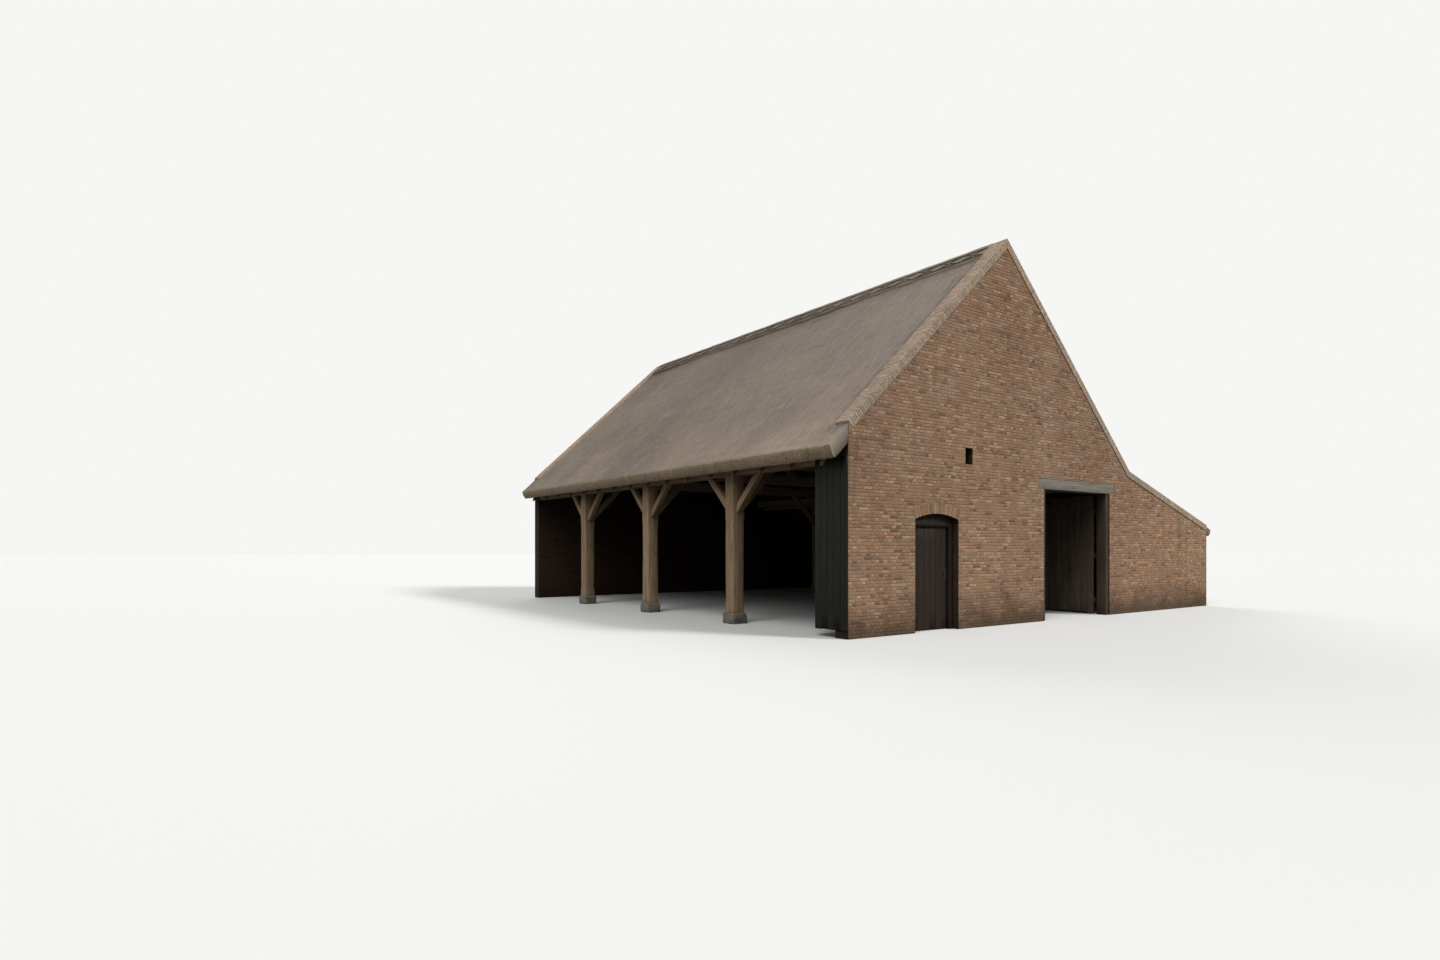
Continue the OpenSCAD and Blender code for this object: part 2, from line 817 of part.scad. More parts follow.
placed() front_wall_left();
placed() front_wall_middle();
placed() front_wall_right();
placed() small_door_head();
placed() wagon_lintel();
placed() wagon_posts();
placed() front_gable();
placed() aisle_front_wall();
placed() aisle_side_wall();
placed() aisle_rear_wall();
placed() rear_gable();
placed() coping_left();
placed() coping_right();
placed() coping_aisle();
placed() post_stones();
placed() arcade_posts();
placed() wall_plates();
placed() plate_braces();
placed() tie_beams();
placed() tie_braces();
placed() principals_left();
placed() principals_right();
placed() collars();
placed() purlins();
placed() ridge_beam();
placed() rafters_left();
placed() rafters_right();
placed() aisle_ledger();
placed() aisle_rafters();
placed() aisle_plate();
placed() thatch_left();
placed() thatch_right();
placed() thatch_aisle();
placed() ridge_cap();
placed() corner_boarding();
placed() corner_studs();
placed() small_door_frame();
placed() small_door();
placed() small_door_ironwork();
placed() wagon_door_left();
placed() wagon_door_right();
placed() wagon_ironwork_left();
placed() wagon_ironwork_right();
placed() pintles();
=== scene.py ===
"""Looks of a thatched brick barn: brickwork, reed, hewn oak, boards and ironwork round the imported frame."""
import math
from types import SimpleNamespace

import bpy
import numpy as np
from bpy.props import FloatProperty, FloatVectorProperty, IntProperty, PointerProperty
from bpy.types import Operator, Panel, PropertyGroup
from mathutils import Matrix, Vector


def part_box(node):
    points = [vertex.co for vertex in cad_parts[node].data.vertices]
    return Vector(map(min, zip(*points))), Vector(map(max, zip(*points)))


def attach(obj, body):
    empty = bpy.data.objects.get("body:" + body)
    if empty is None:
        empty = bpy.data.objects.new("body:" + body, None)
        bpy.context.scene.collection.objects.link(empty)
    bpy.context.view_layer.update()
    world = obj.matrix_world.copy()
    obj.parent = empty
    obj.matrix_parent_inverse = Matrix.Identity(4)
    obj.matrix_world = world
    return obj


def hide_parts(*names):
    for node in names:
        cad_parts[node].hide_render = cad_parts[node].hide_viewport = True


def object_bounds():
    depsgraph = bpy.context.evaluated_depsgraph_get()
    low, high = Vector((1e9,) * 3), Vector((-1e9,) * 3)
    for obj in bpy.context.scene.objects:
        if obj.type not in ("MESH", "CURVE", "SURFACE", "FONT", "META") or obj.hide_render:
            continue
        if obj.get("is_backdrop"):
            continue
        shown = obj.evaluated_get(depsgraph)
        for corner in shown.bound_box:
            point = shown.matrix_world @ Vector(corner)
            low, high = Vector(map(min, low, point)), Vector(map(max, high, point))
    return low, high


bl_info = {
    "name": "Thatched Barn Looks",
    "version": (1, 0, 0),
    "blender": (4, 5, 0),
    "location": "View3D > Sidebar > Barn",
    "description": "Builds the surfaces of a brick barn with a thatched roof on its packed frame",
    "category": "Add Mesh",
}

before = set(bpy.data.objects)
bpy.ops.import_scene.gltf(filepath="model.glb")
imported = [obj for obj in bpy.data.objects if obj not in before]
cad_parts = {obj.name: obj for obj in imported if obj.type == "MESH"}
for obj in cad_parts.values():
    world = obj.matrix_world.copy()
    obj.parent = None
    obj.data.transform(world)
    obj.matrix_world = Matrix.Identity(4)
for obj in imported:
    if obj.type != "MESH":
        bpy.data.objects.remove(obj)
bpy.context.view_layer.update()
BARN = "barn"

# Sizes that follow from how the barn is built and that nobody would slide
ARCH_RISE = 0.11
ARCH_RING = 0.21
ARCH_BRICKS = 21
ARCH_SLIVER = 0.014  # what is lower than this over the arch is left out
BRICK_ARRIS = 0.004
BRICK_NARROWEST = (0.028, 0.012)  # at its foot and at its top
BRICK_OFF = 0.0015  # how far a brick lies off its place
BRICK_SKEW = 0.001  # how far each of its corners lies off it in the wall
FACE_SKEW = 0.0008  # how far each of its corners lies off its face
CHIPPED = 0.1  # share of the corners
EMBED = 0.012  # how deep a brick's block reaches into its wall
COPING_DEPTH = 0.15
COPING_ARRIS = 0.006
COPING_PROUD = 0.006
COPING_WIDER = 0.004
COPING_OFF = 0.002
COPING_CUTS = (0.64, 0.36)  # where the joint between the two bricks of a rank lies, in turn
THATCH_STEP_DOWN, THATCH_STEP_ALONG = 0.09, 0.07
BUTTS_OUT, STUBS_OUT = 0.028, 0.018  # how far the cut ends bulge, and where their stubs stand
STRAW_FOOT, STRAW_BACK = -0.006, 0.003  # heights of a straw's foot over the thatch
STUBS_A_METRE = 560
LEDGE_HALF = 0.08
BRACE_IN = 0.06
BRACE_WIDTH = 0.13
BRACE_THICK = 0.029
PLANK_GAP = 0.0015
BOARD_GAP = 0.002
STRAP_NAILS = (0.12, 0.3, 0.5, 0.7, 0.88)
AISLE_PALER = 1.07
# share by which the walls' inner faces go nearly black: painted shade inside the barn
INNER_PAINTED_SHADE = 0.92
LIME = (0.40, 0.35, 0.28)
MOSS = (0.05, 0.05, 0.026)
CAMERA_SPOT = (-16.325, -16.72)
CAMERA_TURN = -35.39
CAMERA_SHIFT = 0.0465

# What the shapes are worked out with
CREASE = 35  # degrees between faces from which an edge is sharp
TIE = 1e-3  # a share of one way that decides between points that lie equally far along another
UP = np.array((0.0, 0.0, 1.0))
INWARDS = np.array([(1, 1), (-1, 1), (-1, -1), (1, -1)])
PYRAMID = np.array([(0, 1, 2), (0, 3, 1), (1, 3, 2), (2, 3, 0)])
PRIMES = (73856093, 19349663, 83492791, 0x9E3779B1)
MIXER, WORD, LOW_BITS = 0x2C1B3C6D, 0xFFFFFFFF, 0xFFFFFF


def srgb(red, green, blue):
    """Linear colour of a colour given as it looks, each part from 0 to 255."""
    return tuple(((part / 255 + 0.055) / 1.055) ** 2.4 for part in (red, green, blue))


def colour(name, description, *look):
    """A colour property whose default is given as it looks."""
    return FloatVectorProperty(name=name, description=description, default=srgb(*look), subtype="COLOR",
                               size=3, min=0.0, max=1.0)


def length(name, description, default, low=0.0, high=10.0):
    """A length property in metres."""
    return FloatProperty(name=name, description=description, default=default, min=low, max=high,
                         unit="LENGTH", precision=4)


def scalar(name, description, default, low=0.0, high=10.0, unit="NONE"):
    """A number property between two limits."""
    return FloatProperty(name=name, description=description, default=default, min=low, max=high, unit=unit)


class BarnSizes(PropertyGroup):
    """Sizes of the small things that the frame leaves to the surfaces."""

    brick_length: length("Brick length", "Length of a stretcher", 0.21, 0.15, 0.3)
    brick_height: length("Brick height", "Height of a brick in its course", 0.05, 0.04, 0.08)
    joint: length("Joint", "Width of the mortar joints", 0.012, 0.006, 0.02)
    brick_proud: length("Brick relief", "How far a brick stands out of its joints", 0.006, 0.002, 0.01)
    straws: IntProperty(name="Straws", description="Loose straws on each square metre of thatch",
                        default=250, min=0, max=400)
    straw_length: length("Straw length", "Length of a loose straw", 0.26, 0.05, 0.4)
    straw_width: length("Straw width", "Width of a loose straw", 0.008, 0.004, 0.03)
    thatch_waves: length("Thatch waves", "Height of the thatch's soft unevenness", 0.022, 0.0, 0.03)
    arris: length("Arris", "Rounding along the edges of hewn timbers", 0.014, 0.002, 0.03)
    board_width: length("Board width", "Width of the tarred corner boards", 0.16, 0.1, 0.25)
    plank_width: length("Plank width", "Width of the planks of the doors", 0.17, 0.1, 0.25)
    batten_pitch: length("Batten pitch", "Distance between the battens under the reed", 0.3, 0.2, 0.4)
    batten_depth: length("Batten depth", "Thickness of the battens under the reed", 0.025, 0.015, 0.04)
    nail: length("Nail head", "Radius of a forged nail head", 0.011, 0.005, 0.02)


class BarnColours(PropertyGroup):
    """Colours of the barn's finishes and of the studio."""

    brick: colour("Brick", "Middle colour of the bricks", 145, 110, 84)
    brick_pale: colour("Pale brick", "Colour of the palest bricks", 172, 142, 112)
    brick_dark: colour("Dark brick", "Colour of the hardest burnt bricks", 98, 73, 62)
    mortar: colour("Mortar", "Lime mortar in the joints", 140, 125, 104)
    coping: colour("Coping brick", "Bricks of the copings", 172, 151, 132)
    reed: colour("Reed", "Weathered reed of the slopes", 142, 130, 119)
    reed_low: colour("Reed at the eaves", "Warmer reed near the eaves", 158, 142, 124)
    reed_deep: colour("Reed shadow", "Gaps between the reeds", 84, 74, 64)
    # cut reed ends are paler reed, and this colour is raised further as painted light on the shaded eave nose
    reed_ends: colour("Reed ends", "Cut ends of the reeds at the eaves", 206, 184, 152)
    ridge: colour("Ridge", "Sedge of the ridge cap", 142, 131, 119)
    oak: colour("Frame oak", "Posts, plates and trusses", 156, 130, 99)
    rafter: colour("Rafter wood", "Common rafters and battens", 104, 88, 70)
    lintel: colour("Lintel", "Silvered oak over the wagon doorway", 118, 110, 96)
    tar: colour("Tarred boards", "Boarding at the open side's corner", 22, 21, 17)
    door: colour("Door oak", "Small door and its frame", 38, 26, 17)
    wagon_door: colour("Wagon door", "Planks of the wagon doors", 70, 57, 42)
    # Painted shade: the jamb posts take a dark oak colour that stands in for the shade in the wagon doorway's
    # reveals
    jamb: colour("Jamb oak", "Posts that line the wagon doorway", 64, 52, 38)
    iron: colour("Iron", "Straps, hooks and nails", 40, 36, 33)
    rust: colour("Rust", "Rust on the ironwork", 96, 58, 38)
    stone: colour("Pad stone", "Stones under the posts", 138, 132, 120)
    floor: colour("Floor", "Plain studio floor", 210, 210, 207)


class StudioSettings(PropertyGroup):
    """Camera and lamps."""

    lens: scalar("Lens", "Focal length in millimetres", 19.55, 10.0, 80.0, "CAMERA")
    eye: length("Eye height", "Height of the camera above the ground", 1.6, 0.5, 3.0)
    key: scalar("Key", "Strength of the lamp at the front right", 2.6)
    top: scalar("Top", "Strength of the lamp over the open side", 1.1)
    side: scalar("Side", "Strength of the low lamp at the open side", 0.65)
    back: scalar("Back", "Strength of the soft lamp behind the barn", 1.1)
    world: scalar("World", "Strength of the light from all round", 0.28)


def sizes():
    """The size settings of the open scene."""
    return bpy.context.scene.barn_sizes


def colours():
    """The colour settings of the open scene, each as a plain tuple."""
    look = bpy.context.scene.barn_colours
    return SimpleNamespace(**{name: tuple(getattr(look, name)) for name in BarnColours.__annotations__})


def paint(finish, *nodes):
    """Gives CAD nodes that stay in sight their finish."""
    for node in nodes:
        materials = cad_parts[node].data.materials
        materials.clear()
        materials.append(finish)


def vertices(node):
    """Points of a CAD node as an array."""
    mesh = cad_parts[node].data
    points = np.zeros(len(mesh.vertices) * 3)
    mesh.vertices.foreach_get("co", points)
    return points.reshape(-1, 3)


def corner(node, *way):
    """The point of a CAD node that lies furthest along a direction."""
    points = vertices(node)
    return points[np.argmax(points @ np.array(way))]


def opening(node):
    """Lower left and upper right corner, in x and z, of a hole through a gable's front face."""
    points = vertices(node)
    low, high = points.min(axis=0), points.max(axis=0)
    face = points[np.abs(points[:, 1] - low[1]) < 1e-3][:, [0, 2]]
    steep = (high[2] - face[np.argmin(face[:, 0] - TIE * face[:, 1])][1]) / ((high[0] - low[0]) / 2)
    roof = high[2] - steep * np.abs(face[:, 0] - (low[0] + high[0]) / 2)
    hole = face[(face[:, 1] > low[2] + 0.01) & (face[:, 1] < roof - 0.01)]
    return hole.min(axis=0), hole.max(axis=0)


def lattice(cell, seed):
    """Even numbers from 0 to 1, mixed from the three whole coordinates of each lattice place."""
    x, y, z = np.moveaxis(cell, -1, 0)
    mixed = (x * PRIMES[0] ^ y * PRIMES[1] ^ z * PRIMES[2] ^ seed * PRIMES[3]) & WORD
    for shift in (15, 13):
        mixed = ((mixed ^ mixed >> shift) * MIXER) & WORD
    return ((mixed ^ mixed >> 16) & LOW_BITS) / LOW_BITS


def noise(points, size, seed=0):
    """Smooth noise from -1 to 1: lattice numbers `size` apart, blended along each axis by 3t^2 - 2t^3."""
    place = np.asarray(points, float) / size
    cell = np.floor(place).astype(np.int64)
    t = place - cell
    t = t * t * (3 - 2 * t)
    total = 0.0
    for step in np.ndindex(2, 2, 2):
        weight = np.prod(np.where(step, t, 1 - t), axis=-1)
        total = total + weight * lattice(cell + np.array(step), seed)
    return 2 * total - 1


class Shape:
    """Gathers points, faces and what they carry from many forms, and makes one mesh of them."""

    def __init__(self):
        self.points, self.faces, self.counts, self.grain, self.marks = [], [], [], [], {}
        self.total = 0

    def add(self, points, faces, grain=None, **marks):
        """Adds points (n, 3) and face arrays (m, 3 or 4) that count from the first of these points.

        `grain` holds one (m, 3 or 4, 2) array for each face array. A mark is one number, or one a point.
        """
        points = np.asarray(points, float).reshape(-1, 3)
        for number, part in enumerate(faces):
            part = np.asarray(part)
            self.faces.append((part + self.total).ravel())
            self.counts.append(np.full(len(part), part.shape[1]))
            self.grain.append(np.zeros((part.size, 2)) if grain is None else grain[number].reshape(-1, 2))
        for name, value in marks.items():
            self.marks.setdefault(name, []).append(np.broadcast_to(value, len(points)).astype(float))
        self.points.append(points)
        self.total += len(points)

    def mesh(self, name):
        """The mesh, smooth but for edges that turn by more than the crease."""
        points, loops = np.concatenate(self.points), np.concatenate(self.faces)
        counts = np.concatenate(self.counts)
        made = bpy.data.meshes.new(name)
        made.vertices.add(len(points))
        made.vertices.foreach_set("co", points.astype(np.float32).ravel())
        made.loops.add(len(loops))
        made.loops.foreach_set("vertex_index", loops.astype(np.int32))
        made.polygons.add(len(counts))
        made.polygons.foreach_set("loop_start", (np.cumsum(counts) - counts).astype(np.int32))
        made.update(calc_edges=True)
        grain = made.uv_layers.new(name="grain")
        grain.data.foreach_set("uv", np.concatenate(self.grain).astype(np.float32).ravel())
        for mark, parts in self.marks.items():
            made.attributes.new(mark, "FLOAT", "POINT").data.foreach_set(
                "value", np.concatenate(parts).astype(np.float32))
        if made.validate():
            raise RuntimeError(f"{name} has faces that don't hold together")
        made.polygons.foreach_set("use_smooth", np.full(len(counts), True))
        made.set_sharp_from_angle(angle=math.radians(CREASE))
        return made

    def place(self, name, finish, slot, body=BARN, stands_for=()):
        """Makes one object that rides on a body, takes a finish and stands for CAD nodes."""
        mesh = self.mesh(name)
        mesh.materials.append(finish)
        made = bpy.data.objects.new(name, mesh)
        bpy.context.scene.collection.objects.link(made)
        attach(made, body)
        if stands_for:
            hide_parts(*stands_for)


def rings(count, around):
    """Quads between `count` rings of `around` points each, outwards for rings that run anticlockwise."""
    ring, spot = np.arange(count - 1)[:, None] * around, np.arange(around)[None]
    after = (spot + 1) % around
    quads = np.stack([ring + spot, ring + after, ring + around + after, ring + around + spot], axis=-1)
    return quads.reshape(-1, 4)


def ladder(around, first, outwards):
    """A flat cap over an even ring: quads between the places that mirror each other across it."""
    left = np.arange(around // 2 - 1)
    quads = np.stack([left, left + 1, around - 2 - left, around - 1 - left], axis=-1)
    return first + (quads if outwards else quads[:, ::-1])


def fan(around, first, outwards):
    """A flat cap over any ring that bulges everywhere: triangles from its first point."""
    spot = np.arange(1, around - 1)
    trios = np.stack([np.zeros_like(spot), spot, spot + 1], axis=-1)
    return first + (trios if outwards else trios[:, ::-1])


def repeated(faces, count, size):
    """The faces of one form for `count` such forms of `size` points each."""
    return ((np.arange(count) * size)[:, None, None] + faces).reshape(-1, faces.shape[1])


def quads_of(*corners):
    """The corners of quads as (n, 4, 2), from four pairs of coordinates, arrays or single numbers."""
    return np.stack([np.stack(np.broadcast_arrays(*pair), axis=-1) for pair in corners], axis=1)


def quad_map(rows, columns):
    """Map corners of the quads between rings, (n, 4, 2): u by the ring and v by the place on it."""
    grid = np.zeros((len(rows) - 1, len(columns) - 1, 4, 2))
    grid[..., 0] = np.stack([rows[:-1], rows[:-1], rows[1:], rows[1:]], axis=-1)[:, None]
    grid[..., 1] = np.stack([columns[:-1], columns[1:], columns[1:], columns[:-1]], axis=-1)
    return grid.reshape(-1, 4, 2)


def walked(ring):
    """The distances round a closed flat ring, from its first place to each next one and back to the first."""
    return np.concatenate([[0.0], np.cumsum(np.linalg.norm(np.roll(ring, -1, axis=0) - ring, axis=1))])


def across_ridge(plane, y):
    """Points in space of places (x, z) across the ridge and of their places along it."""
    return np.stack([plane[..., 0], y, plane[..., 1]], axis=-1)


class Plane:
    """A wall's face: the place of its lower left corner, its way right, its way up and its way out."""

    def __init__(self, origin, right):
        self.origin, self.right = np.array(origin, float), np.array(right, float)
        self.out = np.cross(self.right, UP)

    def place(self, across, height, out):
        """Points in space of places on the wall."""
        across, height, out = across[..., None], height[..., None], out[..., None]
        return self.origin + across * self.right + height * UP + out * self.out


def add_stacks(shape, flat, out, place, rng):
    """Bricks as closed stacks of four-cornered rings, the first in the wall and the last on its face.

    `flat` is (n, rings, 4, 2) in the wall's plane and `out` (n, rings, 4) over it. A corner carries its place
    on its own brick, from the middle, and the brick's half length and half height.
    """
    count, levels = flat.shape[:2]
    around = 4 * levels
    points = place(flat[..., 0], flat[..., 1], out)
    quads = np.concatenate([rings(levels, 4), [np.arange(around - 4, around)], [[3, 2, 1, 0]]])
    bed, a, b, c = points[0].reshape(-1, 3)[[0, -4, -3, -2]]
    if np.cross(b - a, c - b) @ (a - bed) < 0:
        quads = quads[:, ::-1]
    faces = repeated(quads, count, around)
    flat = flat.reshape(count, around, 2)
    local = flat - flat.mean(axis=1, keepdims=True)
    half = np.repeat(np.abs(local).max(axis=1), around, axis=0)
    tone = np.repeat(rng.uniform(-1, 1, count), around)
    shape.add(points, [faces], [local.reshape(-1, 2)[faces]], tone=tone,
              half_long=half[:, 0], half_high=half[:, 1])


def add_bricks(shape, corners, place, rng, worn=True):
    """Bricks that stand out of their wall: a little uneven, with worn edges and some chipped corners.

    `corners` is (n, 4, 2): lower left, lower right, upper right and upper left of each brick on its wall.
    A ring in the wall, one at the arris and one at the face, pulled in by the arris, make a closed block.
    """
    count = len(corners)
    if count == 0:
        return
    face = sizes().brick_proud + rng.uniform(-BRICK_OFF, BRICK_OFF, (count, 1))
    face = face + rng.uniform(-FACE_SKEW, FACE_SKEW, (count, 4))
    laid = corners + rng.uniform(-BRICK_OFF, BRICK_OFF, (count, 1, 2))
    laid = laid + rng.uniform(-BRICK_SKEW, BRICK_SKEW, (count, 4, 2))
    chip = (rng.random((count, 4)) < CHIPPED) * rng.uniform(0.3, 1.3, (count, 4))
    levels = [(0.0, -EMBED), (0.0, -BRICK_ARRIS), (1.0, 0.0)] if worn else [(0.0, -EMBED), (1.0, 0.0)]
    pull = INWARDS * BRICK_ARRIS
    flat = [laid + pull * (inset + (chip * (drop > -EMBED))[..., None]) for inset, drop in levels]
    out = [face + drop for _, drop in levels]
    add_stacks(shape, np.stack(flat, axis=1), np.stack(out, axis=1), place, rng)


def add_blocks(shape, corners, place, rng):
    """Whole bricks with worn edges on all sides: their rings are pulled in at the bed and on top."""
    count, bed = len(corners), -COPING_DEPTH - COPING_PROUD
    face = rng.uniform(-COPING_OFF, COPING_OFF, count)[:, None] + COPING_PROUD
    laid = corners + rng.uniform(-BRICK_OFF, BRICK_OFF, (count, 4, 2))
    levels = ((1.0, bed), (0.0, bed + COPING_ARRIS), (0.0, -COPING_ARRIS), (1.0, 0.0))
    flat = [laid + INWARDS * COPING_ARRIS * inset for inset, _ in levels]
    out = [np.broadcast_to(face + drop, (count, 4)) for _, drop in levels]
    add_stacks(shape, np.stack(flat, axis=1), np.stack(out, axis=1), place, rng)


def lay_courses(spans, low, high):
    """Corners of all bricks of a cross bond between two heights.

    Courses of stretchers and headers take turns, and every second course of stretchers moves on by a header.
    `spans(z0, z1)` gives the stretches that a course may fill, as pairs of edges, each edge at both heights.
    """
    size, laid = sizes(), []
    pitch, stretcher = size.brick_height + size.joint, size.brick_length + size.joint
    for course in range(int(low / pitch), int(high / pitch) + 1):
        z0, z1 = max(course * pitch + size.joint, low), min((course + 1) * pitch, high)
        if z1 - z0 < size.brick_height / 3:
            continue
        step = stretcher / 2 if course % 2 else stretcher
        shift = stretcher / 4 if course % 2 else (course % 4) * stretcher / 4
        for left, right in spans(z0, z1):
            first, last = math.floor((min(left) - shift) / step), math.ceil((max(right) - shift) / step)
            start = shift + step * np.arange(first, last + 1)
            stop = start + step - size.joint
            left0, left1 = (np.maximum(start, edge) for edge in left)
            right0, right1 = (np.minimum(stop, edge) for edge in right)
            wide = (right0 - left0 > BRICK_NARROWEST[0]) & (right1 - left1 > BRICK_NARROWEST[1])
            laid.append(quads_of((left0, z0), (right0, z0), (right1, z1), (left1, z1))[wide])
    return np.concatenate(laid)


def between(left, right, holes):
    """The spans of a wall: from its left edge to its right one, less the holes that a course meets.

    Edges are functions of the height. A hole is (low, high, left edge, right edge).
    """
    touch = 0.01

    def spans(z0, z1):
        """Pairs of edges, each edge at both heights of a course."""
        edge = (left(z0), left(z1))
        for low, high, hole_left, hole_right in holes:
            if z1 > low + touch and z0 < high - touch:
                a, b = min(max(z0, low), high), min(max(z1, low), high)
                yield edge, (hole_left(a), hole_left(b))
                edge = (hole_right(a), hole_right(b))
        yield edge, (right(z0), right(z1))
    return spans


def polyline(*points):
    """An edge as a function of the height, through points (x, z) from the foot up."""
    xs, zs = zip(*points)
    return lambda z: float(np.interp(z, zs, xs))


def upright(place):
    """An edge that stays at its place at every height."""
    return lambda z: place


def box_hole(low, high):
    """A right-angled hole between two corners (x, z)."""
    return low[1], high[1], upright(low[0]), upright(high[0])


class Value:
    """A socket of a material in the making. Arithmetic on it adds Math nodes."""

    def __init__(self, graph, socket):
        self.graph, self.socket = graph, socket

    def math(self, operation, *others):
        """A Math node on this value and others."""
        return self.graph.node("ShaderNodeMath", {"operation": operation}, dict(enumerate((self, *others))))

    def __add__(self, other):
        return self.math("ADD", other)

    def __sub__(self, other):
        return self.math("SUBTRACT", other)

    def __mul__(self, other):
        return self.math("MULTIPLY", other)

    def __truediv__(self, other):
        return self.math("DIVIDE", other)

    def __rsub__(self, other):
        return self.graph.node("ShaderNodeMath", {"operation": "SUBTRACT"}, {0: other, 1: self})

    def __mod__(self, other):
        return self.math("FLOORED_MODULO", other)

    def __gt__(self, other):
        return self.math("GREATER_THAN", other)

    def __lt__(self, other):
        return self.math("LESS_THAN", other)

    __radd__ = __add__
    __rmul__ = __mul__

    def floor(self):
        """The whole number below."""
        return self.math("FLOOR")

    def either(self, other):
        """The greater of two: with masks, where either is set."""
        return self.math("MAXIMUM", other)

    def between(self, low, high):
        """0 below low, 1 above high and straight between them."""
        return self.graph.node("ShaderNodeMapRange", {"clamp": True},
                                {"Value": self, "From Min": low, "From Max": high})


class Graph:
    """The nodes of a material or of the world in the making."""

    def __init__(self, owner):
        owner.use_nodes = True
        self.tree = owner.node_tree
        self.tree.nodes.clear()

    def node(self, kind, settings=None, sockets=None, out=0):
        """Adds a node: its settings first, then the values or links of its sockets. Gives one output."""
        made = self.tree.nodes.new(kind)
        for name, setting in (settings or {}).items():
            if name == "stops":
                self.set_stops(made.color_ramp, setting)
            else:
                setattr(made, name, setting)
        for name, value in (sockets or {}).items():
            if isinstance(value, Value):
                self.tree.links.new(value.socket, made.inputs[name])
            else:
                made.inputs[name].default_value = value
        return Value(self, made.outputs[out])

    @staticmethod
    def set_stops(ramp, stops):
        """Gives a ramp its stops, each a place and a colour."""
        while len(ramp.elements) < len(stops):
            ramp.elements.new(1.0)
        for element, (place, look) in zip(ramp.elements, stops):
            element.position, element.color = place, (*look, 1.0)

    def close(self, kind, shader):
        """Leads a shader to the output node."""
        end = self.tree.nodes.new(kind)
        self.tree.links.new(shader.socket, end.inputs["Surface"])


class Finish(Graph):
    """A material in the making."""

    def __init__(self, name):
        self.material = bpy.data.materials.new(name)
        super().__init__(self.material)
        self.spot = self.node("ShaderNodeTexCoord", out="Object")

    def grain(self):
        """The piece's own map."""
        return self.node("ShaderNodeUVMap", {"uv_map": "grain"})

    def mark(self, name):
        """A number that the mesh carries."""
        return self.node("ShaderNodeAttribute", {"attribute_name": name}, out="Fac")

    def axes(self, vector):
        """The three parts of a vector."""
        split = self.node("ShaderNodeSeparateXYZ", sockets={"Vector": vector}).socket.node
        return [Value(self, output) for output in split.outputs]

    def vector(self, x, y, z=0.0):
        """A vector of three values or numbers."""
        return self.node("ShaderNodeCombineXYZ", sockets={"X": x, "Y": y, "Z": z})

    def stretched(self, vector, scale):
        """A vector times another, part by part."""
        return self.node("ShaderNodeVectorMath", {"operation": "MULTIPLY"}, {0: vector, 1: scale})

    def cloud(self, scale, detail=3.0, rough=0.55, at=None):
        """Noise from 0 to 1 on the piece's own places or others, with one scale or one for each axis."""
        at = self.spot if at is None else at
        if isinstance(scale, tuple):
            at, scale = self.stretched(at, scale), 1.0
        return self.node("ShaderNodeTexNoise", sockets={
            "Vector": at, "Scale": scale, "Detail": detail, "Roughness": rough})

    def cells(self, vector):
        """One random number for each whole place."""
        return self.node("ShaderNodeTexWhiteNoise", {"noise_dimensions": "3D"}, {"Vector": vector})

    def burnt(self, factor, dark, middle, pale, low, high):
        """Three burns of brick: dark at 0, the middle one from `low` to `high`, and pale at 1."""
        stops = [(0.0, dark), (low, middle), (high, middle), (1.0, pale)]
        return self.node("ShaderNodeValToRGB", {"stops": stops}, {"Fac": factor})

    def mix(self, factor, a, b):
        """A colour between two."""
        a, b = (part if isinstance(part, Value) else (*part, 1.0) for part in (a, b))
        return self.node("ShaderNodeMix", {"data_type": "RGBA"}, {0: factor, 6: a, 7: b}, out=2)

    def shaded(self, look, amount):
        """A colour made lighter or darker: amount 0.5 leaves it, 0 and 1 go a third down and up."""
        return self.node("ShaderNodeVectorMath", {"operation": "SCALE"},
                         {0: look, "Scale": amount * 0.7 + 0.65})

    def bump(self, height, depth):
        """A normal pushed by a height of 0 to 1 that is `depth` metres deep."""
        return self.node("ShaderNodeBump", sockets={"Height": height, "Distance": depth, "Strength": 1.0})

    def surface(self, look, roughness, normal=None, metallic=0.0, gloss=0.2):
        """Closes the material with one Principled shader and gives it back."""
        sockets = {"Base Color": look, "Roughness": roughness, "Metallic": metallic,
                   "Specular IOR Level": gloss}
        if normal is not None:
            sockets["Normal"] = normal
        self.close("ShaderNodeOutputMaterial", self.node("ShaderNodeBsdfPrincipled", sockets=sockets))
        return self.material


def scaled(look, *shares):
    """A colour with its parts multiplied, by one share for all or by one for each."""
    return tuple(min(part * share, 1.0) for part, share in zip(look, shares * (3 // len(shares))))


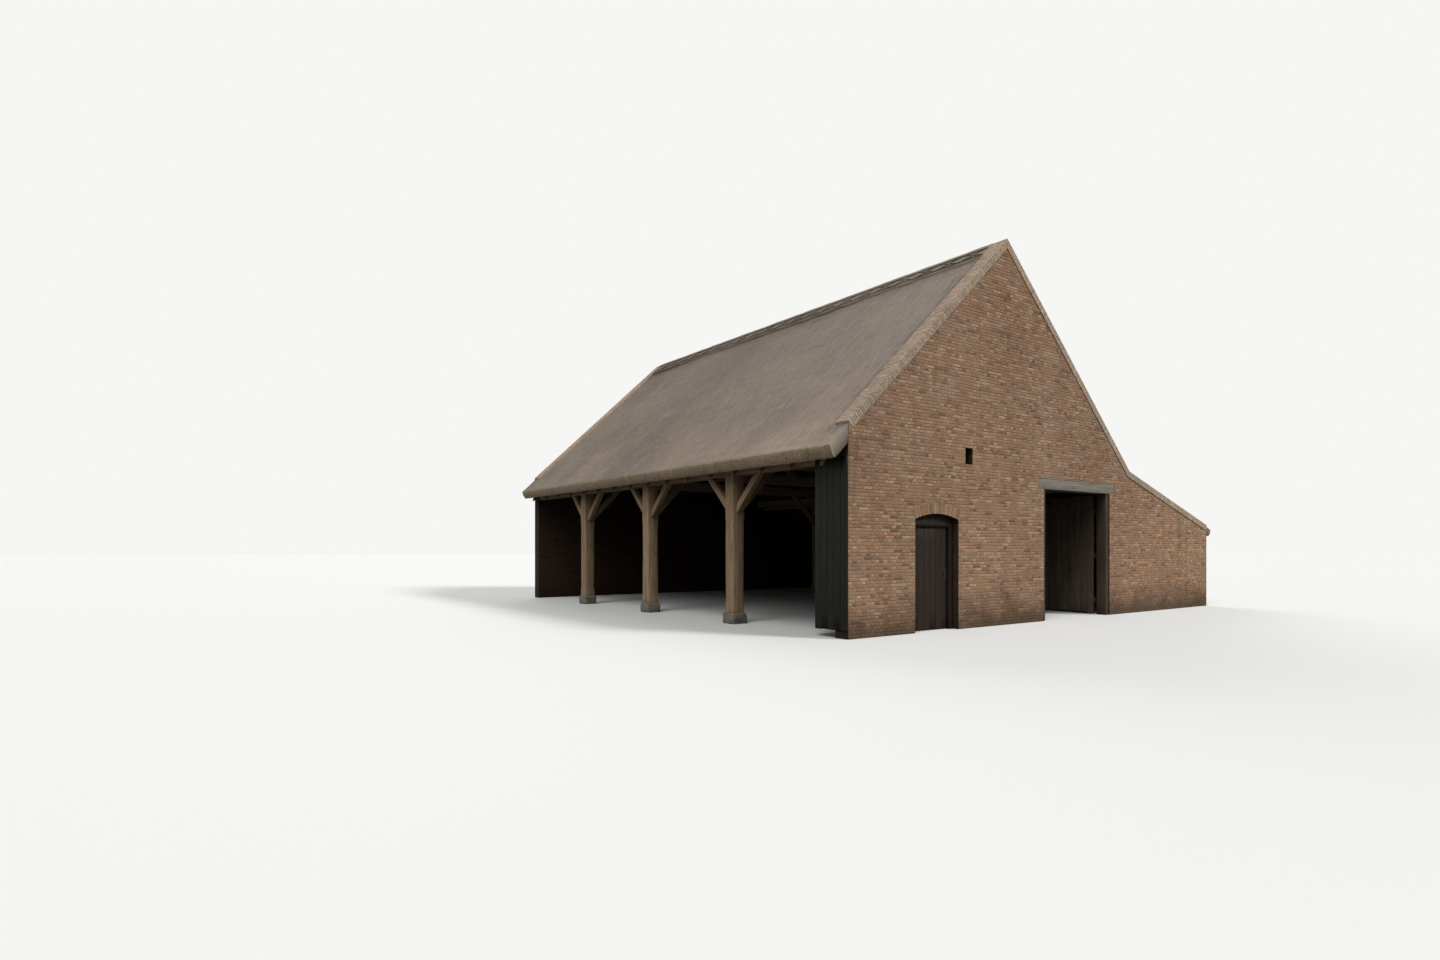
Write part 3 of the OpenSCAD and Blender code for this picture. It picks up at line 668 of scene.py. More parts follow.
def weathered(finish, look, middle, drips=()):
    """A wall's weather: soot, runs and lime bloom, streaks under each drip, and damp and moss at the foot.

    A drip is (x, z, half its width, its length), the place from which water runs down the wall.
    """
    x, _, z = finish.axes(finish.spot)
    weather = finish.cloud((0.55, 0.55, 0.3), 4.0)
    runs = finish.cloud((3.2, 3.2, 0.22), 4.0, 0.6)
    fine_runs = finish.cloud((17.0, 17.0, 0.5), 3.0, 0.6).between(0.38, 0.62)
    bloom = finish.cloud((0.9, 0.9, 1.4), 5.0, 0.7)
    foot = finish.cloud(2.2, 4.0) - 0.5
    sooty, wet = scaled(middle, 0.5), scaled(middle, 0.3)
    look = finish.shaded(look, 0.69 - z.between(1.6, 4.6) * 0.15)
    look = finish.mix(weather.between(0.44, 0.72) * 0.34, look, sooty)
    look = finish.mix(runs.between(0.52, 0.74) * 0.3, look, sooty)
    look = finish.mix(bloom.between(0.55, 0.72) * 0.24, look, LIME)
    for drip_x, drip_z, half, long in drips:
        under = drip_z - z
        wide = (half + 0.03 - (x - drip_x).math("ABSOLUTE")).between(0.0, 0.07)
        streak = wide * under.between(0.0, 0.02) * (1 - under.between(0.1 * long, long)) * fine_runs
        look = finish.mix(streak * 0.55, look, wet)
    damp = 1 - (z + foot * 0.8).between(0.08, 0.75)
    look = finish.mix(damp * 0.82, look, wet)
    return finish.mix((1 - (z + foot * 0.6).between(0.0, 0.3)) * 0.4, look, MOSS)


def brick_finish(name, pale, middle, dark, mortar, drips=()):
    """Handmade brick: three burns by each brick's own tone, a sandy creased face, and mortar on its edges.

    The distance to a brick's edge is its half size less the place on its face, the lesser of the two ways.
    """
    finish = Finish(name)
    tone = finish.mark("tone")
    along, up, _ = finish.axes(finish.grain())
    edge = (finish.mark("half_long") - along.math("ABSOLUTE")).math(
        "MINIMUM", finish.mark("half_high") - up.math("ABSOLUTE"))
    red = finish.cells(finish.vector(tone * 97.0, tone * 31.0)).between(0.55, 1.0)
    grey = finish.cells(finish.vector(tone * 53.0, tone * 71.0)).between(0.6, 1.0)
    grit = finish.cloud(240.0, 3.0, 0.7).between(0.3, 0.7)
    blotch = finish.cloud(30.0, 4.0, 0.65).between(0.3, 0.7)
    crease = finish.cloud((22.0, 22.0, 90.0), 4.0, 0.65).between(0.3, 0.7)
    look = finish.burnt(tone * 0.5 + 0.5, dark, middle, pale, 0.26, 0.64)
    look = finish.mix(red * 0.55, look, scaled(middle, 1.08, 0.86, 0.72))
    look = finish.mix(grey * 0.5, look, scaled(middle, 0.84, 0.98, 1.2))
    look = finish.shaded(look, blotch * 0.42 + grit * 0.3 + crease * 0.26 + 0.01)
    look = finish.mix((1 - blotch.between(0.0, 0.25)) * 0.35, look, scaled(dark, 0.55))
    look = finish.mix((1 - edge.between(0.0, 0.01)) * 0.2, look, pale)
    smear = 1 - (edge + (blotch - 0.45) * 0.013).between(-0.0005, 0.003)
    look = finish.mix(smear * 0.8, look, mortar)
    look = weathered(finish, look, middle, drips)
    height = crease * 0.3 + grit * 0.25 + blotch * 0.45 - smear * 0.5
    return finish.surface(look, 0.92, finish.bump(height, 0.005))


def wall_finish(pale, middle, dark, mortar, drips=()):
    """The walls' core: mortar where bricks stand on it, and the same bond drawn on the other faces, which are
    darkened there as painted shade inside the barn.
    """
    size, skin = sizes(), 0.002
    finish = Finish("wall_core")
    x, y, z = finish.axes(finish.spot)
    facing, _, _ = finish.axes(finish.node("ShaderNodeNewGeometry", out="True Normal"))
    sideways = facing.math("ABSOLUTE") > 0.7
    along = x * (1 - sideways) + y * sideways
    pitch, stretcher = size.brick_height + size.joint, size.brick_length + size.joint
    course = (z / pitch).floor()
    header = course % 2.0
    step = stretcher - header * (stretcher / 2)
    shift = header * (stretcher / 4) + (1 - header) * (course % 4.0) * (stretcher / 4)
    place = (along - shift) / step
    brick = place.floor()
    in_joint = ((place - brick) * step > step - size.joint).either(z - course * pitch < size.joint)
    outside = (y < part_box("front_gable")[0][1] + skin).either(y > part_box("rear_gable")[1][1] - skin)
    outside = outside.either(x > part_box("aisle_side_wall")[1][0] - skin)
    in_joint = in_joint.either(outside)
    tone = finish.cells(finish.vector(brick, course, sideways * 7.0))
    burn = finish.burnt(tone, dark, middle, pale, 0.28, 0.62)
    grit = finish.cloud(90.0, 4.0, 0.7).between(0.25, 0.75)
    lime = finish.mix(finish.cloud(2.5, 4.0).between(0.35, 0.7) * 0.6, mortar, scaled(mortar, 0.55))
    look = weathered(finish, finish.shaded(finish.mix(in_joint, burn, lime), grit), middle, drips)
    # Painted shade: the inner faces are darkened nearly to black for the shade inside the barn
    look = finish.mix((1 - outside) * INNER_PAINTED_SHADE, look, scaled(middle, 0.08))
    return finish.surface(look, 0.95, finish.bump((1 - in_joint) * 0.7 + grit * 0.3, 0.006))


def mortar_finish(mortar):
    """Lime mortar, pale and gritty."""
    finish = Finish("lime_mortar")
    grit = finish.cloud(120.0, 5.0, 0.7)
    base = finish.mix(finish.cloud(2.5, 4.0).between(0.35, 0.7) * 0.5, mortar, scaled(mortar, 0.6))
    return finish.surface(finish.shaded(base, grit), 0.95, finish.bump(grit, 0.003))


def reed_finish(name, high, low):
    """Weathered reed: streaks down the slope, damp and bleached patches, cut ends as round dots at the eave.

    The surface grows paler towards the eaves and the front, and each loose straw has a tone of its own.
    """
    deep, ends = colours().reed_deep, colours().reed_ends
    finish = Finish(name)
    grain = finish.grain()
    tone, fall, under, cut = (finish.mark(mark) for mark in ("tone", "fall", "under", "cut"))
    fibre = finish.cloud((5.0, 300.0, 1.0), 2.0, 0.6, grain).between(0.3, 0.7)
    strand = finish.cloud((1.8, 90.0, 1.0), 3.0, 0.65, grain).between(0.3, 0.7)
    streak = finish.cloud((0.35, 7.0, 1.0), 5.0, 0.65, grain).between(0.3, 0.7)
    patch = finish.cloud((0.45, 0.4, 0.45), 5.0, 0.6)
    lichen = finish.cloud(7.0, 5.0, 0.7).between(0.6, 0.72) * patch.between(0.4, 0.6)
    _, y, _ = finish.axes(finish.spot)
    bleach = 1 - (y + (patch - 0.5) * 6.0).between(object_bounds()[0][1], 0.0)
    look = finish.mix(fall.between(0.35, 1.0), high, low)
    look = finish.mix(patch.between(0.35, 0.68), scaled(high, 0.8), look)
    look = finish.shaded(look, fibre * 0.35 + strand * 0.3 + streak * 0.3 + tone * 0.2 + bleach * 0.46 - 0.23)
    # Painted shade: the gaps between the reeds are mixed towards the reed shadow colour
    gaps = (1 - (fibre * 0.5 + strand * 0.5).between(0.05, 0.33)) * 0.5
    look = finish.mix(gaps, look, deep)
    look = finish.mix(lichen * 0.3, look, scaled(low, 1.35))
    flat = finish.stretched(grain, (1.0, 1.0, 0.0))
    # Painted shade: the cut ends show as pale dots with the reed shadow colour between them
    dots = finish.node("ShaderNodeTexVoronoi", {"feature": "F1"}, {"Vector": flat, "Scale": 95.0})
    dots = dots.between(0.25, 0.85)
    look = finish.mix(cut, look, finish.shaded(finish.mix(dots, ends, deep), streak * 0.5 + patch * 0.5))
    # Painted shade: the underside of the thatch is darkened towards the reed shadow colour
    look = finish.mix(under * 0.75, look, scaled(deep, 0.4))
    height = (fibre * 0.5 + strand * 0.5) * (1 - cut) + (1 - dots) * cut
    return finish.surface(look, 0.95, finish.bump(height, 0.006))


def wood_finish(name, base, roughness=0.8, silver=0.0, upright=False, cracks=0.7, pale=1.35):
    """Wood with its grain along the timber: broad figure, fine fibres, drying cracks and worn arrises.

    The grain follows the piece's own map, or with `upright` the height, on pieces that have no map.
    """
    finish = Finish(name)
    if upright:
        x, y, z = finish.axes(finish.spot)
        grain, tone = finish.vector(z, x + y), 0.0
    else:
        grain, tone = finish.grain(), finish.mark("tone")
    figure = finish.cloud((1.1, 16.0, 1.0), 5.0, 0.6, grain)
    fibre = finish.cloud((14.0, 260.0, 1.0), 3.0, 0.6, grain)
    split = finish.cloud((0.9, 30.0, 1.0), 2.0, 0.4, grain)
    crack = (1 - (split - 0.5).math("ABSOLUTE").between(0.0, 0.014)) * cracks
    look = finish.mix(figure.between(0.32, 0.68), scaled(base, 0.6), scaled(base, pale))
    look = finish.shaded(look, fibre * 0.6 + 0.2 + tone * 0.18)
    if silver:
        bleached = finish.cloud((0.6, 5.0, 1.0), at=grain).between(0.3, 0.7)
        look = finish.mix(bleached * silver, look, (0.24, 0.225, 0.2))
    if not upright:
        look = finish.mix(finish.mark("rim") * 0.35, look, scaled(base, pale))
    look = finish.mix(crack, look, scaled(base, 0.18))
    height = fibre * 0.35 + figure * 0.45 + (1 - crack) * 0.4
    return finish.surface(look, roughness, finish.bump(height, 0.004))


def iron_finish(iron, rust):
    """Forged iron: dark, hammered, with rust in patches."""
    finish = Finish("forged_iron")
    rusty = finish.cloud(26.0, 5.0, 0.65).between(0.45, 0.66)
    dents = finish.cloud(70.0)
    look = finish.shaded(finish.mix(rusty, iron, rust), dents)
    return finish.surface(look, rusty * 0.35 + 0.5, finish.bump(dents, 0.0015), 0.35, 0.4)


def stone_finish(stone):
    """Field stone: mottled, pitted, with darker stains near the ground."""
    finish = Finish("pad_stone")
    mottle = finish.cloud(9.0, 6.0, 0.65)
    grit = finish.cloud(90.0, 4.0, 0.7)
    _, _, z = finish.axes(finish.spot)
    look = finish.shaded(finish.mix(mottle.between(0.35, 0.65), scaled(stone, 0.55), stone), grit)
    look = finish.mix((1 - z.between(0.0, 0.12)) * 0.5, look, scaled(stone, 0.3))
    return finish.surface(look, 0.9, finish.bump(mottle * 0.6 + grit * 0.4, 0.006))


def floor_finish(floor):
    """Plain floor: pale to the camera, and as dull as earth to the light that it sends on."""
    finish = Finish("studio_floor")
    rays = finish.node("ShaderNodeLightPath", out="Is Camera Ray")
    return finish.surface(finish.mix(rays, scaled(floor, 0.15), floor), 0.9)


def solids(node):
    """The separate solids of a CAD node, each as its points and its triangles."""
    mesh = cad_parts[node].data
    mesh.calc_loop_triangles()
    triangles = np.zeros(len(mesh.loop_triangles) * 3, np.int32)
    mesh.loop_triangles.foreach_get("vertices", triangles)
    places, same = np.unique(np.round(vertices(node), 4), axis=0, return_inverse=True)
    triangles = same.reshape(-1)[triangles].reshape(-1, 3)
    label, before = np.arange(len(places)), None
    while before is None or (label != before).any():
        before = label.copy()
        least = label[triangles].min(axis=1)
        for side in range(3):
            np.minimum.at(label, triangles[:, side], least)
    for one in np.unique(label[triangles[:, 0]]):
        mine = triangles[label[triangles[:, 0]] == one]
        used, mine = np.unique(mine, return_inverse=True)
        yield places[used], mine.reshape(-1, 3)


def facets(points, triangles):
    """Unit normals and areas of a solid's triangles."""
    a, b, c = (points[triangles[:, side]] for side in range(3))
    cross = np.cross(b - a, c - a)
    size = np.linalg.norm(cross, axis=1)
    return cross / np.maximum(size, 1e-12)[:, None], size / 2


def faces_of(points, triangles):
    """Normals, offsets and areas of a solid's flat faces."""
    normal, area = facets(points, triangles)
    real = area > 1e-7
    normal, area = normal[real], area[real]
    offset = np.sum(normal * points[triangles[real, 0]], axis=1)
    _, first, group = np.unique(np.round(np.column_stack([normal, offset]), 2), axis=0, return_index=True,
                                return_inverse=True)
    return normal[first], offset[first], np.bincount(group.reshape(-1), area)


def long_edges(points, triangles):
    """The solid's real edges, longest first, as unit vectors."""
    normal, _ = facets(points, triangles)
    meets = {}
    for number, triangle in enumerate(triangles):
        for side in range(3):
            key = tuple(sorted((triangle[side], triangle[(side + 1) % 3])))
            meets.setdefault(key, []).append(number)
    edges = [points[end] - points[start] for (start, end), owners in meets.items()
             if len(owners) == 2 and normal[owners[0]] @ normal[owners[1]] < 0.999]
    edges.sort(key=lambda edge: -np.linalg.norm(edge))
    return [edge / np.linalg.norm(edge) for edge in edges]


def outline(places):
    """The outer corners of flat places, anticlockwise: from each, the way on that keeps all others left."""
    places = np.unique(np.round(places, 3), axis=0)
    walk = [0]
    while len(walk) < 3 or walk[-1] != walk[0]:
        here, ahead = places[walk[-1]], None
        for number in range(len(places)):
            way = places[number] - here
            if number == walk[-1]:
                continue
            turn = -1.0 if ahead is None else ahead[0] * way[1] - ahead[1] * way[0]
            if turn < -1e-9 or (abs(turn) <= 1e-9 and way @ way > ahead @ ahead):
                ahead, best = way, number
        walk.append(best)
    corners = places[walk[:-1]]
    before, after = corners - np.roll(corners, 1, axis=0), np.roll(corners, -1, axis=0) - corners
    bend = before[:, 0] * after[:, 1] - before[:, 1] * after[:, 0]
    real = bend > 0.05 * np.linalg.norm(before, axis=1) * np.linalg.norm(after, axis=1)
    return corners[real]


class Timber:
    """A straight timber: its ways along, across and through its depth, its section and its two end planes."""

    def __init__(self, along, across, section, ends):
        self.along = np.array(along, float)
        self.across = across - (across @ self.along) * self.along
        self.across /= np.linalg.norm(self.across)
        self.depth = np.cross(self.along, self.across)
        self.section, self.ends, self.stops = section, ends, None

    @classmethod
    def of_solid(cls, points, triangles):
        """The timber that a straight CAD solid is: its section is the outline that it shows end on."""
        edges = long_edges(points, triangles)
        along = edges[0]
        across = next(edge for edge in edges if abs(edge @ along) < 0.05)
        made = cls(along, across, None, [])
        made.section = outline(np.stack([points @ made.across, points @ made.depth], axis=-1))
        size = np.ptp(made.section, axis=0)
        normals, offsets, areas = faces_of(points, triangles)
        for way in (-1, 1):
            facing = way * (normals @ along)
            good = (facing > 0.3) & (areas > 0.2 * size[0] * size[1])
            best = np.argmax(np.round(facing, 2) * good + 1e-3 * areas * good)
            made.ends.append((normals[best], offsets[best]))
        return made

    @classmethod
    def of_box(cls, low, high, along):
        """A timber that fills a box between two corners, with its grain along axis 0, 1 or 2."""
        low, high = np.array(low, float), np.array(high, float)
        ways = np.roll(np.eye(3), -along, axis=0)
        ends = [(-ways[0], -low[along]), (ways[0], high[along])]
        made = cls(ways[0], ways[1], None, ends)
        middle, half = (low + high) / 2, np.abs((high - low) / 2)
        made.section = oblong(middle @ made.across, middle @ made.depth, half @ abs(made.across),
                              half @ abs(made.depth))
        return made

    @classmethod
    def of_strip(cls, start, end, across, width, thickness, cut=None):
        """A slanting timber between two points, its ends square or cut along a plane that `cut` stands on."""
        start, end, across = (np.array(part, float) for part in (start, end, across))
        along = (end - start) / np.linalg.norm(end - start)
        facing = along if cut is None else cut
        made = cls(along, across, None, [(-facing, -(start @ facing)), (facing, end @ facing)])
        made.section = oblong(start @ made.across, start @ made.depth, width / 2, thickness / 2)
        return made


def oblong(middle_x, middle_y, half_x, half_y):
    """The four corners of an oblong, anticlockwise."""
    return np.array((middle_x, middle_y)) + np.array(((-1, -1), (1, -1), (1, 1), (-1, 1))) * (half_x, half_y)


def add_timber(shape, timber, arris, wander, seed, ring=0.35):
    """A hewn timber: its section with rounded corners, carried from one end plane to the other.

    A corner is a point on either side of it and one that a curve between them would pass. Every line of the
    girth runs from where it meets the first end plane to where it meets the second. Rings stand about `ring`
    apart, those at the ends are pulled in by the arris, and noise takes up to twice `wander` off the faces.
    Where a timber has `stops`, a chamfer of that width takes its corners between two places along it.
    """
    def in_space(flat):
        """Ways in space of ways in the section's plane."""
        return flat[:, :1] * timber.across + flat[:, 1:] * timber.depth
    section = timber.section
    middle, half = (section.max(axis=0) + section.min(axis=0)) / 2, np.ptp(section, axis=0) / 2
    arris = min(arris, 0.3 * min(half))
    before, after = (np.roll(section, shift, axis=0) - section for shift in (1, -1))
    before, after = (way / np.linalg.norm(way, axis=1, keepdims=True) for way in (before, after))
    rounding = np.stack([before, (before + after) / 4, after], axis=1)
    girth = (section[:, None] + arris * rounding).reshape(-1, 2)
    lines = in_space(girth)
    first, last = ((offset - lines @ normal) / (normal @ timber.along) for normal, offset in timber.ends)
    span = float(np.mean(last - first))
    count, edge = max(2, round(span / ring)), arris / span
    share = np.concatenate([[0.0, edge], np.arange(1, count) / count, [1 - edge, 1.0]])
    if timber.stops:
        low, high, width = timber.stops
        places = np.array((low - width / 2, low, high, high + width / 2))
        share = np.sort(np.concatenate([share, (places - first.mean()) / span]))
    run = first + share[:, None] * (last - first)
    points = lines + run[..., None] * timber.along
    if timber.stops:
        taken = np.interp(run[:, 0], places, (0.0, 1.0, 1.0, 0.0)) * (width * math.sqrt(0.5) - arris)
        inward = np.stack([before, (before + after) / 2, after], axis=1).reshape(-1, 2)
        points = points + taken[:, None, None] * in_space(inward)
    rough = noise(points, 0.22, seed) * 0.6 + noise(points, 0.7, seed + 1) * 0.4
    shrink = wander * (1 + rough)
    shrink[[0, -1]] += arris * 0.7
    points = points - shrink[..., None] * in_space((girth - middle) / half)
    around = len(girth)
    caps = np.concatenate([fan(around, 0, False), fan(around, (len(share) - 1) * around, True)])
    shift = np.array((seed * 3.17 % 40, seed * 1.31 % 40))
    rim = np.tile((0.15, 1.0, 0.15), (len(share), len(section)))
    rim[[0, -1]] = 1.0
    shape.add(points, [rings(len(share), around), caps],
              [quad_map(run.mean(axis=1), walked(girth)) + shift, girth[caps % around] * 0.6 + shift],
              tone=float(lattice(np.array([seed, 5, 9]), 3)) * 2 - 1, rim=rim.ravel())


class Thatch:
    """A slope of thatch as a closed section carried along the ridge.

    The section runs from `top` down the surface to `lip`, round the cut reed ends to `heel`, and back along
    the underside to `inner`. Both sides have the same number of places, so that flat caps close the ends.
    """

    def __init__(self, top, lip, heel, inner, nose=8):
        self.top, self.lip, self.nose = top, lip, nose
        self.length = float(np.linalg.norm(lip - top))
        self.down = (lip - top) / self.length
        self.out = np.array((-self.down[1], self.down[0])) * math.copysign(1.0, self.down[0])
        self.heel, self.inner = (spot + sizes().batten_depth * self.out for spot in (heel, inner))
        self.half_nose = (self.lip - self.heel) / 2
        across = np.array((-self.half_nose[1], self.half_nose[0]))
        self.nose_out = across / np.linalg.norm(across) * math.copysign(1.0, across @ self.down)

    def nose_line(self, turn, bulge):
        """Places on the cut ends: a half turn of an ellipse from lip to heel that stands `bulge` out."""
        turn, middle = turn[:, None], (self.lip + self.heel) / 2
        return middle + np.cos(turn) * self.half_nose + np.sin(turn) * bulge * self.nose_out

    def swell(self, across, fall):
        """Height of the surface over its plane: soft waves, furrows that water has worn, and courses.

        A course rises slowly over its length down the slope and drops at its end.
        """
        spots = np.stack(np.broadcast_arrays(across, fall, self.top[0]), axis=-1)
        soft = noise(spots, 1.6, 3) + 0.5 * noise(spots, 0.5, 4)
        furrow = noise(spots * (1.0, 0.12, 1.0), 0.3, 5)
        course = (fall / 0.34 + 0.15 * noise(spots, 0.8, 6)) % 1.0
        edge = np.clip(np.minimum(fall, self.length - fall) / 0.15, 0, 1)
        return sizes().thatch_waves * edge * (0.7 * soft + 0.2 * furrow + 0.2 * course - 0.25)

    def add_body(self, shape, y0, y1):
        """The closed body between two places along the ridge, its cut ends and underside a little ragged."""
        share = np.linspace(0, 1, max(3, int(self.length / THATCH_STEP_DOWN)))
        ys = np.linspace(y0, y1, max(3, int((y1 - y0) / THATCH_STEP_ALONG)))
        over, ends = len(share), len(share) + self.nose
        ring = np.concatenate([
            self.top + share[:, None] * (self.lip - self.top),
            self.nose_line(np.linspace(0, math.pi, self.nose + 2)[1:-1], BUTTS_OUT),
            (self.inner + share[:, None] * (self.heel - self.inner))[::-1]])
        fall = np.concatenate([share, np.ones(self.nose), share[::-1]]) * self.length
        across, x, z = np.broadcast_arrays(ys[:, None], ring[:, 0], ring[:, 1])
        spots = np.stack([across, x, z], axis=-1)
        ragged = (0.008 * noise(spots, 0.05, 8) + 0.01 * noise(spots, 0.3, 9))[..., None]
        plane = np.tile(ring, (len(ys), 1, 1))
        plane[:, :over] += self.swell(across[:, :over], fall[:over])[..., None] * self.out
        plane[:, over:ends] += ragged[:, over:ends] * self.nose_out
        plane[:, ends:] -= 0.4 * ragged[:, ends:] * self.out
        points = across_ridge(plane, across)
        around = len(ring)
        caps = np.concatenate([ladder(around, 0, False), ladder(around, (len(ys) - 1) * around, True)])
        faces, grain = rings(len(ys), around), quad_map(ys, walked(ring))[..., ::-1]
        if self.out[0] > 0:
            faces, caps, grain = faces[:, ::-1], caps[:, ::-1], grain[:, ::-1]
        flat = points.reshape(-1, 3)[caps][..., [0, 2]]
        end_grain = np.stack([flat @ self.down, flat @ self.out], axis=-1)
        place = np.arange(around)
        # the under mark picks out the underside, which the reed finish darkens as painted shade
        marks = np.clip(fall / self.length, 0, 1), place >= ends, (place >= over) & (place < ends)
        fall, under, cut = (np.tile(mark, len(ys)) for mark in marks)
        shape.add(points, [faces, caps], [grain, end_grain], tone=0.0, fall=fall, under=under, cut=cut)

    def add_pyramids(self, shape, corners, grain, rng, **marks):
        """Thin closed pyramids, each from three places of its foot and its tip. `grain` is (n, 4, 2)."""
        count = len(grain)
        one = PYRAMID[:, ::-1] if self.out[0] < 0 else PYRAMID
        shape.add(np.stack(corners, axis=1), [repeated(one, count, 4)], [grain[:, one]],
                  tone=np.repeat(rng.uniform(-1, 1, count), 4), **marks)

    def add_straws(self, shape, y0, y1, rng):
        """Loose straws: long thin closed pyramids, their feet in the thatch and their tips raised."""
        size = sizes()
        count = int(size.straws * self.length * (y1 - y0))
        long = size.straw_length * rng.uniform(0.5, 1.2, count)
        fall = rng.uniform(0.0, 1.0, count) * (self.length - long)
        across = rng.uniform(y0 + 0.03, y1 - 0.03, count)
        yaw = rng.normal(0.0, 0.07, count)
        half = size.straw_width * rng.uniform(0.5, 1.3, count) / 2
        tip = np.clip(across + np.sin(yaw) * long, y0 + 0.01, y1 - 0.01), fall + np.cos(yaw) * long
        lift = rng.uniform(0.001, 0.007, count)

        def spot(y, s, above):
            """Points in space of places along the ridge, down the slope and over the surface."""
            height = self.swell(y, s) + above
            return across_ridge(self.top + s[:, None] * self.down + height[:, None] * self.out, y)
        corners = (spot(across - half, fall, STRAW_FOOT), spot(across + half, fall, STRAW_FOOT),
                   spot(across, fall, STRAW_BACK), spot(*tip, lift))
        grain = np.stack([np.array((0.0, 0.0, 0.0, 0.15)) + rng.uniform(0, 30, (count, 1)),
                          np.array((0.004, 0.004, 0.004, 0.0)) + rng.uniform(0, 30, (count, 1))], axis=-1)
        self.add_pyramids(shape, corners, grain, rng, fall=np.repeat(np.clip(fall / self.length, 0, 1), 4),
                          under=0.0, cut=0.0)

    def add_stubs(self, shape, y0, y1, rng):
        """Cut reed ends at the eave: short closed pyramids that stand out of the nose."""
        count = int(STUBS_A_METRE * (y1 - y0))
        foot = self.nose_line(rng.uniform(0.1, 0.95, count) * math.pi, STUBS_OUT)
        across = rng.uniform(y0 + 0.01, y1 - 0.01, count)
        reach = rng.uniform(0.006, 0.028, count)
        wide = rng.uniform(0.0025, 0.005, count)
        tip = foot + reach[:, None] * self.down + rng.normal(0, 0.003, (count, 2))
        rise = wide[:, None] * self.out
        low = foot - 0.5 * rise
        corners = (across_ridge(low, across - wide), across_ridge(low, across + wide),
                   across_ridge(foot + rise, across), across_ridge(tip, across + rng.normal(0, 0.004, count)))
        self.add_pyramids(shape, corners, np.full((count, 4, 2), 0.3), rng, fall=1.0, under=0.0, cut=0.5)


class BARN_OT_stage(Operator):
    """Camera, floor, lamps and the light from all round."""

    bl_idname = "barn.stage"
    bl_label = "Stage"

    def execute(self, context):
        scene, studio = context.scene, context.scene.barn_studio
        scene.view_settings.view_transform = "Standard"
        lens = bpy.data.cameras.new("camera")
        lens.lens, lens.sensor_width, lens.shift_y = studio.lens, 36.0, CAMERA_SHIFT
        lens.clip_end = 500.0
        camera = bpy.data.objects.new("camera", lens)
        camera.location = (*CAMERA_SPOT, studio.eye)
        camera.rotation_euler = (math.radians(90), 0.0, math.radians(CAMERA_TURN))
        scene.collection.objects.link(camera)
        scene.camera = camera
        self.floor()
        self.lamp("key_lamp", studio.key, (0.50, -0.80, 0.72), 14)
        self.lamp("top_lamp", studio.top, (-0.46, -0.28, 0.90), 24)
        self.lamp("side_lamp", studio.side, (-0.85, -0.35, 0.70), 30)
        self.lamp("back_lamp", studio.back, (0.35, 0.80, 0.60), 40)
        self.world(scene, studio.world)
        return {"FINISHED"}

    @staticmethod
    def floor():
        """A plain square of floor, just under the barn's feet."""
        reach, depth = 160.0, -0.002
        mesh = bpy.data.meshes.new("floor")
        mesh.from_pydata([(-reach, -reach, depth), (reach, -reach, depth), (reach, reach, depth),
                          (-reach, reach, depth)], [], [(0, 1, 2, 3)])
        mesh.materials.append(floor_finish(colours().floor))
        made = bpy.data.objects.new("floor", mesh)
        bpy.context.scene.collection.objects.link(made)
        made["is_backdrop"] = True

    @staticmethod
    def lamp(name, strength, towards, spread):
        """A soft distant lamp that stands in the direction `towards`."""
        light = bpy.data.lights.new(name, "SUN")
        light.energy, light.angle = strength, math.radians(spread)
        made = bpy.data.objects.new(name, light)
        from_x, from_y, from_z = towards
        made.rotation_euler = (math.atan2(math.hypot(from_x, from_y), from_z), 0.0,
                               math.atan2(from_x, -from_y))
        bpy.context.scene.collection.objects.link(made)

    @staticmethod
    def world(scene, strength):
        """Even light, with a pale ground to look at behind the barn."""
        world = bpy.data.worlds.new("studio")
        graph = Graph(world)
        rays = "ShaderNodeLightPath"
        seen = graph.node(rays, out="Is Camera Ray").either(graph.node(rays, out="Is Glossy Ray"))
        shown = graph.node("ShaderNodeBackground", sockets={"Color": (*srgb(246, 246, 244), 1.0)})
        light = graph.node("ShaderNodeBackground",
                           sockets={"Color": (0.93, 0.96, 1.0, 1.0), "Strength": strength})
        both = graph.node("ShaderNodeMixShader", sockets={0: seen, 1: light, 2: shown})
        graph.close("ShaderNodeOutputWorld", both)
        scene.world = world


class Roofline:
    """Edges of the walls under the roof, worked out from the frame."""

    def __init__(self, gable, aisle_wall):
        self.left_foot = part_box(gable)[0][0]
        self.left_top = corner(gable, -1, 0, TIE)
        self.ridge = corner(gable, 0, 0, 1)
        self.end = corner(aisle_wall, 1, 0, TIE)
        steep = (self.ridge[2] - self.left_top[2]) / (self.ridge[0] - self.left_top[0])
        head, tail = corner("aisle_rafters", -1, 0, TIE), corner("aisle_rafters", 1, 0, TIE)
        gentle = (head[2] - tail[2]) / (tail[0] - head[0])
        x = (self.ridge[2] + steep * self.ridge[0] - self.end[2] - gentle * self.end[0]) / (steep - gentle)
        self.bend = (x, self.end[2] + gentle * (self.end[0] - x))

    def peak(self):
        """The height up to which courses are laid."""
        return self.ridge[2] - 0.05

    def left(self, drop=0.01):
        """The edge above the open side."""
        return polyline((self.left_foot, 0), (self.left_foot, self.left_top[2] - drop),
                        (self.ridge[0], self.ridge[2] - drop))

    def right(self, proud, drop=0.01):
        """The edge above the aisle, down to its outer corner."""
        far = self.end[0] + proud
        return polyline((far, 0), (far, self.end[2] - drop), (self.bend[0], self.bend[1] - drop),
                        (self.ridge[0], self.ridge[2] - drop))


